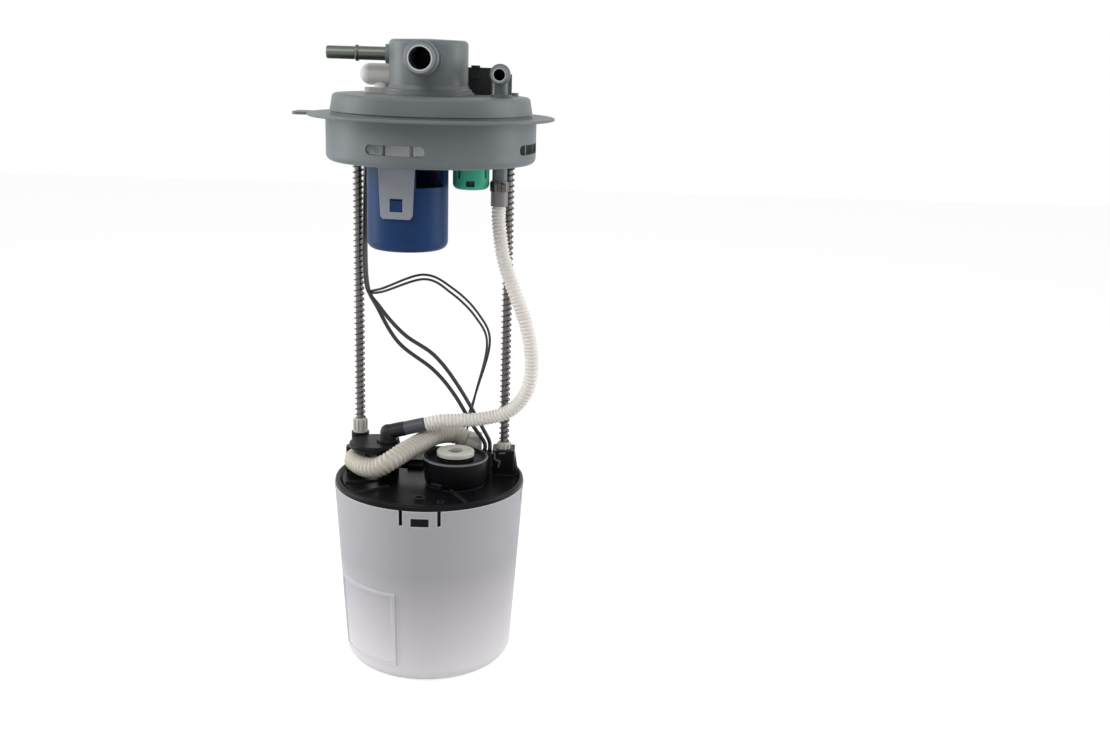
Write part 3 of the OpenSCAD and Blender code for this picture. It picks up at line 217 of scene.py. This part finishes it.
def painted_edge_highlight(material, color, width):
    tree = material.node_tree
    rounded = tree.nodes.new("ShaderNodeBevel")
    rounded.samples = 8
    rounded.inputs["Radius"].default_value = width
    flat = tree.nodes.new("ShaderNodeNewGeometry")
    agree = tree.nodes.new("ShaderNodeVectorMath")
    agree.operation = "DOT_PRODUCT"
    tree.links.new(rounded.outputs["Normal"], agree.inputs[0])
    tree.links.new(flat.outputs["Normal"], agree.inputs[1])
    edge = tree.nodes.new("ShaderNodeMapRange")
    edge.inputs["From Min"].default_value = FACE_AGREES
    edge.inputs["From Max"].default_value = EDGE_AGREES
    tree.links.new(agree.outputs["Value"], edge.inputs["Value"])
    mix_over(material, edge.outputs["Result"], color)


print("light edges ready")

# %% [markdown]
# Drawn steel is plain metal whose fine lines come from noise that is stretched along the wire
# or the rod. Its roughness wanders a little, so the highlights break up. Anisotropic shading
# could stretch the highlights too, but it needs a direction on every surface.

# %% Drawn steel
LINE_DARK, LINE_LIGHT = 0.82, 1.15
GLOSSIER, DULLER, HANDLING = 0.08, 0.12, 60


def steel(name, color, rough=0.35, stretch=(1, 1, 0.02), grain=700.0):
    material, tree, shader = new_material(name, color, rough, metal=1.0)
    lines = noise(tree, grain, detail=3, stretch=stretch)
    tones = ramp(tree, lines, shade(color, LINE_DARK), shade(color, LINE_LIGHT))
    tree.links.new(tones, shader.inputs["Base Color"])
    spread = tree.nodes.new("ShaderNodeMapRange")
    spread.inputs["To Min"].default_value = rough - GLOSSIER
    spread.inputs["To Max"].default_value = rough + DULLER
    tree.links.new(noise(tree, HANDLING, detail=4), spread.inputs["Value"])
    tree.links.new(spread.outputs["Result"], shader.inputs["Roughness"])
    return material


print("drawn steel ready")

# %% [markdown]
# A ring of painted light paints one turned surface in a paler colour: all that lies between two
# radii round an axis, and between two places along it. A second material there would need faces
# that end where the colour does. Math on the position finds the place without cutting the mesh.

# %% Rings of painted light
def within(tree, source, low, high):
    gate = tree.nodes.new("ShaderNodeMath")
    gate.operation = "COMPARE"
    gate.inputs[1].default_value = (low + high) / 2
    gate.inputs[2].default_value = (high - low) / 2
    tree.links.new(source, gate.inputs[0])
    return gate.outputs["Value"]


def painted_light_ring(material, axis, centre, radii, span, color):
    tree = material.node_tree
    place = tree.nodes.new("ShaderNodeTexCoord")
    parts = tree.nodes.new("ShaderNodeSeparateXYZ")
    tree.links.new(place.outputs["Object"], parts.inputs["Vector"])
    centred = tree.nodes.new("ShaderNodeMapping")
    across = [0 if name == axis else 1 for name in "XYZ"]
    centred.inputs["Location"].default_value = [-c * keep for c, keep in zip(centre, across)]
    centred.inputs["Scale"].default_value = across
    tree.links.new(place.outputs["Object"], centred.inputs["Vector"])
    away = tree.nodes.new("ShaderNodeVectorMath")
    away.operation = "LENGTH"
    tree.links.new(centred.outputs["Vector"], away.inputs[0])
    both = tree.nodes.new("ShaderNodeMath")
    both.operation = "MULTIPLY"
    tree.links.new(within(tree, away.outputs["Value"], *radii), both.inputs[0])
    tree.links.new(within(tree, parts.outputs[axis], *span), both.inputs[1])
    mix_over(material, both.outputs["Value"], color)


def dress(material, *names):
    for name in names:
        data = nodes[name].data
        data.materials.clear()
        data.materials.append(material)
    print("dressed", ", ".join(names), "with", material.name)


print("bright rings ready")

# %% [markdown]
# The flange is a grey glass-filled moulding and the dome is welded on it, a shade lighter.
# Both are satin, with a faint mottle where the fibres lie near the skin. One material could
# serve both, but two let the dome be lighter. The mouths of the two pipes catch the light, so
# each gets painted highlights: a pale face with a bright line round its bore.

# %% Flange and dome
flange_grey = moulded("flange_grey", (0.155, 0.178, 0.185), rough=0.45, tone=0.06, mirror=0.3)
dress(flange_grey, "flange")
dome_grey = moulded("dome_grey", (0.165, 0.183, 0.190), rough=0.40, tone=0.07, mirror=0.35)
VENT_MOUTH = {"centre": (-0.002, 0, 0.0366), "span": (-0.053, -0.0512)}
# painted highlights on the vent pipe's mouth: a pale face and a bright line round the bore
painted_light_ring(dome_grey, "Y", **VENT_MOUTH, radii=(0.0062, 0.0092), color=(0.27, 0.29, 0.30))
painted_light_ring(dome_grey, "Y", **VENT_MOUTH, radii=(0.0066, 0.0074), color=(0.66, 0.69, 0.70))
OUTLET_MOUTH = {"centre": (0.0435, 0, 0.028), "span": (-0.031, -0.0293)}
# painted highlights on the outlet's mouth: a pale face and a bright line round the bore
painted_light_ring(dome_grey, "Y", **OUTLET_MOUTH, radii=(0.0032, 0.0056), color=(0.24, 0.26, 0.27))
painted_light_ring(dome_grey, "Y", **OUTLET_MOUTH, radii=(0.0033, 0.0040), color=(0.60, 0.63, 0.65))
dress(dome_grey, "vent_dome", "outlet_elbow")
dress(steel("tube_steel", (0.125, 0.135, 0.12), rough=0.36, stretch=(0.02, 1, 1)), "vapour_tube")
dress(moulded("sensor_white", (0.84, 0.83, 0.80), rough=0.5), "pressure_sensor")
dress(moulded("seal_rubber", (0.50, 0.49, 0.47), rough=0.65), "sensor_grommet")
black_plastic = moulded("black_plastic", (0.010, 0.010, 0.012), rough=0.45, tone=0.2, mirror=0.3)
dress(black_plastic, "electrical_connector", "harness_plug", "pump_plug", "manifold_elbow",
      "pump_end_bell", "pump_base", "jet_pump", "sender_housing", "sender_plug")
dress(steel("terminal_brass", (0.72, 0.55, 0.25), rough=0.3), "connector_pins")

# %% [markdown]
# The blue can and the green valve are dull acetal. The grey carrier holds the can by its
# windowed legs. Its band, which shows through the flange's slot, is painted paler, as painted
# light for the light that comes through the slots. The can's float is white plastic and the
# green valve's is black. All are made by the one recipe for plastic, because only colour and
# gloss set them apart.

# %% Valves
CARRIER_PAINTED_LIGHT = {"centre": (-0.014, -0.009, 0), "radii": (0, 0.06), "span": (-0.024, 0.02)}
carrier_grey = moulded("carrier_grey", (0.27, 0.285, 0.33), rough=0.4, tone=0.05)
# painted light: the band is paler where light comes through the flange's slots
painted_light_ring(carrier_grey, "Z", **CARRIER_PAINTED_LIGHT, color=(0.78, 0.79, 0.83))
dress(carrier_grey, "valve_carrier")
blue = moulded("valve_blue", (0.012, 0.042, 0.130), rough=0.42, tone=0.10, mirror=0.12)
dress(blue, "vent_valve_can", "vent_valve_cap")
green = moulded("valve_green", (0.055, 0.46, 0.30), rough=0.42, tone=0.10, mirror=0.25)
dress(green, "rollover_valve_body", "rollover_valve_cap")
dress(moulded("float_white", (0.74, 0.73, 0.68), rough=0.6), "vent_valve_float")
dress(moulded("float_black", (0.010, 0.010, 0.011), rough=0.6, tone=0.2), "rollover_valve_float")
dress(moulded("valve_rubber", (0.30, 0.10, 0.05), rough=0.6), "vent_valve_seal", "foot_valve")

# %% [markdown]
# The cover is a black moulding. Its edges and the rim of the pump's cup get painted highlights,
# a little paler, which keeps them readable against the black. More light would do that too, but it
# would turn the flat faces grey.

# %% Cover
CUP_RIM_HIGHLIGHT = {"centre": (0.018, -0.01, 0), "radii": (0.0208, 0.0218), "span": (-0.2204, -0.2190)}
cover_black = moulded("cover_black", (0.005, 0.005, 0.006), rough=0.32, tone=0.2, depth=0.03, mirror=0.1)
# painted highlight along every edge of the cover
painted_edge_highlight(cover_black, color=(0.06, 0.06, 0.07), width=0.0007)
# painted highlight on the rim of the pump's cup
painted_light_ring(cover_black, "Z", **CUP_RIM_HIGHLIGHT, color=(0.17, 0.17, 0.19))
dress(cover_black, "reservoir_cover", "outlet_manifold")

# %% [markdown]
# The reservoir is pale natural plastic, a little cloudy, and lets some light through its wall.
# It looks lightest at its foot, where the white floor shines up through it, and the extra
# brightness has faded out at about three fifths of its height. Light that really passes through
# the wall is slow to render and noisy, so a ramp over the height does most of the work.

# %% Reservoir
FOOT_GLOW, FADED_AT = (1.9, 1.88, 1.86), 0.62
reservoir_grey = moulded("reservoir_grey", (0.46, 0.45, 0.475), rough=0.5, tone=0.03, cloud=12.0,
                         mirror=0.12)
tree = reservoir_grey.node_tree
paint = base_color(reservoir_grey)
cloudy = paint.links[0].from_socket
place = tree.nodes.new("ShaderNodeTexCoord")
height = tree.nodes.new("ShaderNodeSeparateXYZ")
tree.links.new(place.outputs["Object"], height.inputs["Vector"])
foot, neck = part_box("reservoir")
fade = tree.nodes.new("ShaderNodeMapRange")
fade.inputs["From Min"].default_value = foot[2]
fade.inputs["From Max"].default_value = neck[2]
tree.links.new(height.outputs["Z"], fade.inputs["Value"])
glow = ramp(tree, fade.outputs["Result"], FOOT_GLOW, (1.0, 1.0, 1.0), start=0.0, end=FADED_AT)
tint = tree.nodes.new("ShaderNodeMix")
tint.data_type = "RGBA"
tint.blend_type = "MULTIPLY"
tint.inputs["Factor"].default_value = 1.0
tree.links.new(cloudy, tint.inputs[MIX_UNDER])
tree.links.new(glow, tint.inputs[MIX_OVER])
tree.links.new(tint.outputs[MIX_OUT], paint)
# painted highlight along the reservoir's edges and raised lines
painted_edge_highlight(reservoir_grey, color=(0.74, 0.74, 0.77), width=0.0011)


def milky(material, weight, radius):
    shader = material.node_tree.nodes["Principled BSDF"]
    shader.inputs["Subsurface Weight"].default_value = weight
    shader.inputs["Subsurface Radius"].default_value = radius
    shader.inputs["Subsurface Scale"].default_value = 1.0


milky(reservoir_grey, weight=0.15, radius=(0.006, 0.006, 0.007))
dress(reservoir_grey, "reservoir")

# %% [markdown]
# The rod bushes, the transfer hose's fitting, the isolator's disc and the float's hub are of
# white acetal, and the hose cuffs are of grey rubber. The recipe for plastic serves for rubber
# too, with a colour of its own.

# %% Small white and grey pieces
bush_white = moulded("bush_white", (0.56, 0.55, 0.51), rough=0.55, tone=0.08)
dress(bush_white, "rod_bush_left", "rod_bush_right", "transfer_fitting", "isolator_disc",
      "float_hub")
dress(moulded("hose_cuff_grey", (0.055, 0.058, 0.075), rough=0.42), "manifold_cuff")
dress(moulded("cuff_pale_grey", (0.24, 0.225, 0.235), rough=0.45), "outlet_cuff")

# %% [markdown]
# Steel parts are drawn or turned. Inside the pump there are ferrite magnets, copper windings
# and carbon brushes, and below it a mesh sock. The level float is black nitrile foam. The sock
# and the foam could be modelled hole by hole, but a coarser, deeper grain is enough at their size.

# %% Steel and the pump's inside
rod_steel = steel("rod_steel", (0.15, 0.142, 0.138), rough=0.36)
dress(rod_steel, "guide_rod_left", "guide_rod_right", "ground_clip", "motor_shaft", "float_arm",
      "vent_valve_spring")
spring_steel = steel("spring_steel", (0.105, 0.096, 0.093), rough=0.34, stretch=(1, 1, 1))
dress(spring_steel, "hose_clamp", "rod_clip_left", "rod_clip_right")
dress(steel("case_steel", (0.5, 0.51, 0.52), rough=0.3), "pump_case")
dress(moulded("carbon", (0.03, 0.03, 0.03), rough=0.7), "pump_brushes")
dress(moulded("magnet_ferrite", (0.07, 0.065, 0.06), rough=0.6), "field_magnets")
dress(steel("winding_copper", (0.55, 0.25, 0.13), rough=0.35), "armature", "commutator")
dress(moulded("impeller_phenolic", (0.13, 0.065, 0.035), rough=0.5), "impeller")
sock_mesh = moulded("sock_mesh", (0.72, 0.71, 0.66), rough=0.8, tone=0.1, grain=1600, depth=0.4)
dress(sock_mesh, "strainer")
nitrile_foam = moulded("float_nitrile", (0.02, 0.02, 0.022), rough=0.75, tone=0.3, grain=400, depth=0.5)
dress(nitrile_foam, "level_float")

# %% [markdown]
# A cord is swept along listed points, which are the ones of the solid it replaces. They are
# first rounded into a smooth line by Catmull-Rom steps, and then resampled at even distances, so
# that each corrugation has the same length. A Blender curve would be smooth too, but its steps
# are longer where its points lie further apart.

# %% Smooth lines for cords
ROUNDING_ERROR = 1e-12


def smooth(points, steps=12):
    p = [Vector(q) / 1000 for q in points]
    line = []
    for i in range(len(p) - 1):
        a, b, c, d = p[max(i - 1, 0)], p[i], p[i + 1], p[min(i + 2, len(p) - 1)]
        for s in range(steps):
            t = s / steps
            line.append(0.5 * ((2 * b) + (c - a) * t + (2 * a - 5 * b + 4 * c - d) * t * t
                               + (3 * b - a - 3 * c + d) * t ** 3))
    return line + [p[-1]]


def even(line, step):
    total = sum((b - a).length for a, b in zip(line, line[1:]))
    count = round(total / step)
    out, need = [line[0]], total / count
    left = need
    for a, b in zip(line, line[1:]):
        span, here = (b - a).length, 0.0
        while span - here >= left - ROUNDING_ERROR and len(out) < count:
            here += left
            out.append(a.lerp(b, here / span))
            left = need
        left -= span - here
    out.append(line[-1])
    return out


print("smooth lines ready")

# %% [markdown]
# A tube is swept along such a line: one ring of vertices stands square to the line at each of
# its points. Each ring's direction is carried on from the one before, so the tube doesn't
# twist. A curve with a round bevel is quicker to make, but here each ring can have a radius of
# its own, and that is what the corrugations need.

# %% Sweeping a tube
def sweep(name, line, radius_at, sides, material):
    mesh = bpy.data.meshes.new(name)
    work = bmesh.new()
    last = len(line) - 1
    around = [2 * math.pi * k / sides for k in range(sides)]
    side = None
    rings = []
    for i, point in enumerate(line):
        along = (line[min(i + 1, last)] - line[max(i - 1, 0)]).normalized()
        if side is None:
            side = along.orthogonal().normalized()
        else:
            side = (side - along * side.dot(along)).normalized()
        other = along.cross(side)
        r = radius_at(i)
        rings.append([work.verts.new(point + r * (math.cos(a) * side + math.sin(a) * other))
                      for a in around])
    for low, high in zip(rings, rings[1:]):
        for k in range(sides):
            work.faces.new((low[k], low[(k + 1) % sides], high[(k + 1) % sides], high[k]))
    work.faces.new(list(reversed(rings[0])))
    work.faces.new(rings[-1])
    bmesh.ops.recalc_face_normals(work, faces=work.faces)
    work.to_mesh(mesh)
    work.free()
    piece = bpy.data.objects.new(name, mesh)
    bpy.context.collection.objects.link(piece)
    for face in mesh.polygons:
        face.use_smooth = True
    mesh.materials.append(material)
    length = sum((b - a).length for a, b in zip(line, line[1:]))
    print(name, "length", round(length, 4), "faces", len(mesh.polygons))
    return piece, length


print("sweep ready")

# %% [markdown]
# The routes are in millimetres in the module's own frame. The feed hose hangs from the flange
# to the reservoir, the transfer hose lies on the cover, and the four wires leave the plug
# under the flange, run down beside the left rod and cross to the pump and the level sender. A
# simulation could let them fall into place, but chosen points keep the bends of the real ones.

# %% Routes of the cords, in millimetres
FEED = [
    (43.5, -2, -54), (43.5, -2, -64), (46.5, -5, -84), (51, -7, -99), (57, -8, -114), (62.5, -9, -129),
    (66, -9, -145), (67, -9, -160), (64.5, -8, -174), (57, -5, -186), (47, -3, -192.5),
    (34, -2, -196), (20, -2, -197.5), (7, -2, -198.25), (-3, -2, -200.75)]
TRANSFER = [
    (23, 19, -217.5), (14, 19, -213.5), (3, 10, -212), (-7, -5, -213.8), (-15.5, -16, -216.3),
    (-24, -23.5, -220.5), (-33, -23, -225.5), (-42, -17, -227), (-50, -6, -226.5), (-50, 1, -226.5)]
POWER = [
    (6, 36, -1), (6, 36, -5), (-2, 35.5, -9), (-20, 33, -10), (-38, 22, -12), (-43, 11, -26),
    (-43.5, 9, -60), (-43, 9, -107), (-36, 9, -125), (-22, 8, -148), (1, 6, -165), (15, 5, -181),
    (28, 6, -203), (36, 9, -216), (36, 9, -222)]
GROUND = [
    (7.5, 33.3, -1), (7.5, 33.3, -5), (-0.5, 32.8, -9), (-18.4, 30.3, -10), (-36.4, 19.4, -12),
    (-42, 8.2, -26), (-43.5, 6.2, -60), (-43, 6.2, -107), (-34, 6, -124), (-18, 5, -141.5),
    (2, 3, -154.5), (18, 2.5, -174.5), (36, 6, -207), (39.5, 9, -216), (39.5, 9, -222)]
SIGNAL = [
    (8.8, 31.1, -1), (8.8, 31.1, -5), (0.8, 30.6, -9), (-17, 28, -10), (-35, 17.4, -12),
    (-41.5, 5.8, -26), (-43.5, 3.9, -60), (-43, 3.9, -107), (-36, 4, -112), (-6, 7, -101.5),
    (14, 8, -110.5), (30.5, 8, -126.5), (38.5, 9, -146), (29, 18, -184), (17, 56, -226),
    (17, 71.5, -244), (17, 71.5, -252)]
RETURN = [
    (9.8, 29.4, -1), (9.8, 29.4, -5), (1.8, 28.9, -9), (-16, 26.2, -10), (-34, 15.7, -12),
    (-41.2, 4, -26), (-43.5, 2.1, -60), (-43, 2.1, -107), (-35, 2.5, -113.5), (-5, 4.5, -104),
    (13, 5.5, -113), (29, 5.5, -128.5), (36.8, 6, -147), (28.5, 16, -186), (20, 56, -226),
    (20, 71.5, -244), (20, 71.5, -252)]
print("points in the routes", len(FEED), len(TRANSFER), len(POWER), len(GROUND), len(SIGNAL),
      len(RETURN))

# %% [markdown]
# The corrugated hoses are thin-walled convoluted tubes: round crests with narrow valleys.
# Six rings to a wave give the crest its roundness, and the ends stay smooth where they are
# gripped. A bump in the material would leave the outline straight, so the waves are in the mesh.
# The feed hose is milky and lets light through.

# %% Feed hose
RINGS_PER_WAVE = 6
CREST_ROUNDNESS = 0.6
PLAIN_END = 0.001


def corrugated(name, route, radius, pitch, valley, material, sides=32):
    line = even(smooth(route), pitch / RINGS_PER_WAVE)
    last = len(line) - 1
    skip = round(PLAIN_END / pitch * RINGS_PER_WAVE)

    def radius_at(i):
        if i < skip or i > last - skip:
            return radius - valley * 0.5
        wave = 0.5 - 0.5 * math.cos(2 * math.pi * (i - skip) / RINGS_PER_WAVE)
        return radius - valley + valley * wave ** CREST_ROUNDNESS

    piece, length = sweep(name, line, radius_at, sides, material)
    return piece, length, [tuple(p) for p in line]


feed_white = moulded("hose_white", (0.84, 0.80, 0.75), rough=0.35, tone=0.05, edge=0.0)
milky(feed_white, weight=0.3, radius=(0.004, 0.004, 0.004))
feed, feed_length, feed_line = corrugated(
    "corrugated_feed_hose", FEED, radius=0.00475, pitch=0.0024, valley=0.0009, material=feed_white)
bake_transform(feed)
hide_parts("feed_hose")

# %% [markdown]
# The transfer hose is wider and of a warm grey, and the same helper makes it. It joins two
# fittings of the cover, so it rides with the reservoir as it is and needs no bending.

# %% Transfer hose
transfer_grey = moulded("hose_warm_grey", (0.54, 0.51, 0.44), rough=0.45, tone=0.06, edge=0.0)
transfer, transfer_length, transfer_line = corrugated(
    "corrugated_transfer_hose", TRANSFER, radius=0.0067, pitch=0.0027, valley=0.0007,
    material=transfer_grey, sides=40)
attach(transfer, "reservoir")
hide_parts("transfer_hose")

# %% [markdown]
# Two thick wires feed the pump and two thin ones come from the level sender.
# They are swept like the hoses, with one radius all along.

# %% Wires
THICK, THIN = 0.00135, 0.0008
WIRE_STEP, WIRE_SIDES = 0.0025, 14
wire_black = moulded("wire_black", (0.014, 0.014, 0.016), rough=0.38, tone=0.2, edge=0.0)
for name, node, route, radius in (
        ("power_wire", "pump_wire_power", POWER, THICK),
        ("ground_wire", "pump_wire_ground", GROUND, THICK),
        ("signal_wire", "sender_wire_signal", SIGNAL, THIN),
        ("return_wire", "sender_wire_return", RETURN, THIN)):
    line = even(smooth(route), WIRE_STEP)
    wire, wire_length = sweep(name, line, lambda i: radius, WIRE_SIDES, wire_black)
    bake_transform(wire)
    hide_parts(node)

# %% [markdown]
# New pieces are modelled near the origin, where their measures are easy to read. When one is
# done, it is moved, and the move is applied to its mesh. The object could keep its own place,
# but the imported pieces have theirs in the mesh, and patterns on Object coordinates rely on it.

# %% Settling a new piece
def deselect():
    if bpy.context.mode != "OBJECT":
        bpy.ops.object.mode_set(mode="OBJECT")
    bpy.ops.object.select_all(action="DESELECT")


def settle(piece, name):
    deselect()
    piece.select_set(True)
    bpy.context.view_layer.objects.active = piece
    bpy.ops.object.transform_apply(location=True, rotation=True, scale=True)
    piece.name = name
    piece.data.name = name
    return piece


print("settling ready")

# %% [markdown]
# Each spring is wound from round wire. One circle of wire is screwed up by the Screw modifier,
# and its two open ends are closed. A curve along a helix could be used too, but its points would
# have to be worked out, and the modifier needs only the climb of a turn and their number.

# %% Winding a spring
SPRING_R, SPRING_WIRE, SPRING_PITCH = 0.0036, 0.00045, 0.0037
WIRE_CORNERS, STEPS_PER_TURN = 8, 20
SAME_PLACE = 0.000001


def wind(name, x, y, low, high):
    deselect()
    bpy.ops.mesh.primitive_circle_add(vertices=WIRE_CORNERS, radius=SPRING_WIRE,
                                      location=(SPRING_R - SPRING_WIRE, 0, 0),
                                      rotation=(math.pi / 2, 0, 0))
    coil = settle(bpy.context.object, name)
    climb = high - low - 2 * SPRING_WIRE
    turns = round(climb / SPRING_PITCH)
    screw = coil.modifiers.new("screw", "SCREW")
    screw.axis = "Z"
    screw.steps = screw.render_steps = STEPS_PER_TURN
    screw.iterations = turns
    screw.screw_offset = climb / turns
    bpy.ops.object.modifier_apply(modifier="screw")
    bpy.ops.object.mode_set(mode="EDIT")
    bpy.ops.mesh.select_all(action="SELECT")
    bpy.ops.mesh.remove_doubles(threshold=SAME_PLACE)
    bpy.ops.mesh.select_all(action="DESELECT")
    bpy.ops.mesh.select_mode(type="EDGE")
    bpy.ops.mesh.select_non_manifold()
    bpy.ops.mesh.edge_face_add()
    bpy.ops.mesh.select_all(action="SELECT")
    bpy.ops.mesh.normals_make_consistent(inside=False)
    bpy.ops.object.mode_set(mode="OBJECT")
    bpy.ops.object.shade_smooth()
    coil.location = (x, y, low + SPRING_WIRE)
    settle(coil, name)
    coil.data.materials.append(spring_steel)
    print(name, "turns", turns, "faces", len(coil.data.polygons))
    return coil


print("winding ready")

# %% [markdown]
# One spring sits on each rod. It hangs from the flange. On the module it shortens towards the
# flange as the reservoir slides up, by the whole travel of the slide, but here one coil is wound
# at the length of the solid it replaces.

# %% The two springs
ROD_X, ROD_Y, SLIDE_TRAVEL = 0.049, 0.014, 0.06
for name, node, side in (("left_spring", "spring_left", -1), ("right_spring", "spring_right", 1)):
    low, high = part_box(node)
    coil = wind(name, side * ROD_X, ROD_Y, low[2], high[2])
    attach(coil, "flange")
    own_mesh(coil)
    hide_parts(node)

# %% [markdown]
# The hose clamp is a steel band that was closed by pinching its ear. The solid is the band
# alone, so the ear is modelled here: a small block as wide as the waist is drawn out to a wider
# head, closed a little to a crown, and rounded. A bent sheet would be truer inside, but the ear
# is pinched shut, and only its outside is seen.

# %% Ear of the hose clamp
EAR_WAIST, EAR_HEAD, EAR_THICK = 0.0022, 0.0036, 0.0012
EAR_FLARE, EAR_CROWN, EAR_ROUNDING = 0.0010, 0.0007, 0.00022
EAR_SHARE_OF_BAND, EAR_OFF_BAND = 0.9, 0.0001
CROWN_WIDTH, CROWN_HEIGHT = 0.75, 0.96
EAR_TURN = math.radians(24)
FACES_FRONT = -0.9
SOFT_BELOW = math.radians(40)


def clamp_ear():
    low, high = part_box("hose_clamp")
    centre = (Vector(low) + Vector(high)) / 2
    band_radius = (high[0] - low[0]) / 2
    tall = (high[2] - low[2]) * EAR_SHARE_OF_BAND
    deselect()
    bpy.ops.mesh.primitive_cube_add(size=1, location=(0, -band_radius - EAR_OFF_BAND, 0))
    ear = bpy.context.object
    ear.scale = (EAR_WAIST, EAR_THICK, tall)
    settle(ear, "clamp_ear")
    bpy.ops.object.mode_set(mode="EDIT")
    work = bmesh.from_edit_mesh(ear.data)
    for face in work.faces:
        face.select = face.normal.y < FACES_FRONT
    work.select_flush(True)
    bmesh.update_edit_mesh(ear.data)
    bpy.ops.mesh.extrude_region_move(TRANSFORM_OT_translate={"value": (0, -EAR_FLARE, 0)})
    bpy.ops.transform.resize(value=(EAR_HEAD / EAR_WAIST, 1, 1))
    bpy.ops.mesh.extrude_region_move(TRANSFORM_OT_translate={"value": (0, -EAR_CROWN, 0)})
    bpy.ops.transform.resize(value=(CROWN_WIDTH, 1, CROWN_HEIGHT))
    bpy.ops.object.mode_set(mode="OBJECT")
    rounding = ear.modifiers.new("rounding", "BEVEL")
    rounding.width = EAR_ROUNDING
    rounding.segments = 3
    bpy.ops.object.modifier_apply(modifier="rounding")
    bpy.ops.object.shade_smooth_by_angle(angle=SOFT_BELOW)
    ear.rotation_euler = (0, 0, EAR_TURN)
    ear.location = centre
    settle(ear, "clamp_ear")
    ear.data.materials.append(spring_steel)
    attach(ear, "flange")
    print("clamp_ear faces", len(ear.data.polygons))


clamp_ear()

# %% [markdown]
# The floor and the room behind it are plain and pale. To the camera, and in the reflections of
# glossy pieces, both are white. More light would whiten them too, but it would burn out the pale
# plastics, so the light that falls on the module from them is set apart from what is seen.

# %% White where it is seen
def white_when_seen(tree, plain, white):
    path = tree.nodes.new("ShaderNodeLightPath")
    mirrored = tree.nodes.new("ShaderNodeMath")
    mirrored.operation = "MAXIMUM"
    tree.links.new(path.outputs["Is Glossy Ray"], mirrored.inputs[0])
    tree.links.new(path.outputs["Is Transmission Ray"], mirrored.inputs[1])
    seen = tree.nodes.new("ShaderNodeMath")
    seen.operation = "MAXIMUM"
    tree.links.new(path.outputs["Is Camera Ray"], seen.inputs[0])
    tree.links.new(mirrored.outputs["Value"], seen.inputs[1])
    mix = tree.nodes.new("ShaderNodeMixShader")
    tree.links.new(seen.outputs["Value"], mix.inputs["Fac"])
    tree.links.new(plain, mix.inputs[1])
    tree.links.new(white, mix.inputs[2])
    return mix.outputs["Shader"]


print("white when seen ready")

# %% [markdown]
# The floor lies under the module's foot. A bright lamp on a white floor would do, but it would
# light the module as well. So what is seen of the floor shines with light of its own, and
# still takes the module's shadow.

# %% Floor
FLOOR_SIZE, FLOOR_GREY, FLOOR_SHINE = 6, 0.42, 0.78
deselect()
bpy.ops.mesh.primitive_plane_add(size=FLOOR_SIZE, location=(0, 0, cad_box[0][2]))
floor = bpy.context.object
floor.name = "floor"
floor_material, floor_tree, floor_shader = new_material("floor_white", (0.75, 0.75, 0.75), rough=0.8)
shadowed = floor_tree.nodes.new("ShaderNodeBsdfDiffuse")
shadowed.inputs["Color"].default_value = (FLOOR_GREY, FLOOR_GREY, FLOOR_GREY, 1)
shine = floor_tree.nodes.new("ShaderNodeEmission")
shine.inputs["Strength"].default_value = FLOOR_SHINE
both = floor_tree.nodes.new("ShaderNodeAddShader")
floor_tree.links.new(shadowed.outputs["BSDF"], both.inputs[0])
floor_tree.links.new(shine.outputs["Emission"], both.inputs[1])
surface = white_when_seen(floor_tree, floor_shader.outputs["BSDF"], both.outputs["Shader"])
floor_tree.links.new(surface, floor_tree.nodes["Material Output"].inputs["Surface"])
floor.data.materials.append(floor_material)
print("floor at", round(cad_box[0][2], 4))

# %% [markdown]
# The room lights the module softly from all sides, at less than half of the white it shows. A
# picture of a studio could light it too, but a plain tone adds no reflections of its own.

# %% Room
ROOM_LIGHT = 0.45
world = bpy.data.worlds.new("room")
bpy.context.scene.world = world
world.use_nodes = True
tree = world.node_tree
dim = tree.nodes["Background"]
dim.inputs["Color"].default_value = (1, 1, 1, 1)
dim.inputs["Strength"].default_value = ROOM_LIGHT
white = tree.nodes.new("ShaderNodeBackground")
white.inputs["Color"].default_value = (1, 1, 1, 1)
surface = white_when_seen(tree, dim.outputs["Background"], white.outputs["Background"])
tree.links.new(surface, tree.nodes["World Output"].inputs["Surface"])
print("room light", ROOM_LIGHT)

# %% [markdown]
# Two long softboxes stand at the sides. They leave the middle of each round piece a little
# darker than its flanks. The third one, above the camera's left shoulder, lifts the fronts.
# Point lights would leave small, hard highlights, and wide areas give long, soft ones.

# %% Softboxes
def softbox(name, place, target, size, watts):
    light = bpy.data.objects.new(name, bpy.data.lights.new(name, "AREA"))
    bpy.context.collection.objects.link(light)
    light.data.shape = "RECTANGLE"
    light.data.size, light.data.size_y = size
    light.data.energy = watts
    light.location = place
    light.rotation_euler = (Vector(target) - Vector(place)).to_track_quat("-Z", "Y").to_euler()
    print(name, watts, "W at", place)


softbox("key_light", (-0.5, -1.0, 1.0), (0, 0, -0.15), (0.8, 0.8), 7)
softbox("right_light", (1.2, 0.1, 0.1), (0, 0, -0.18), (0.6, 1.2), 8)
softbox("left_light", (-1.2, 0.1, 0.1), (0, 0, -0.18), (0.6, 1.2), 9)
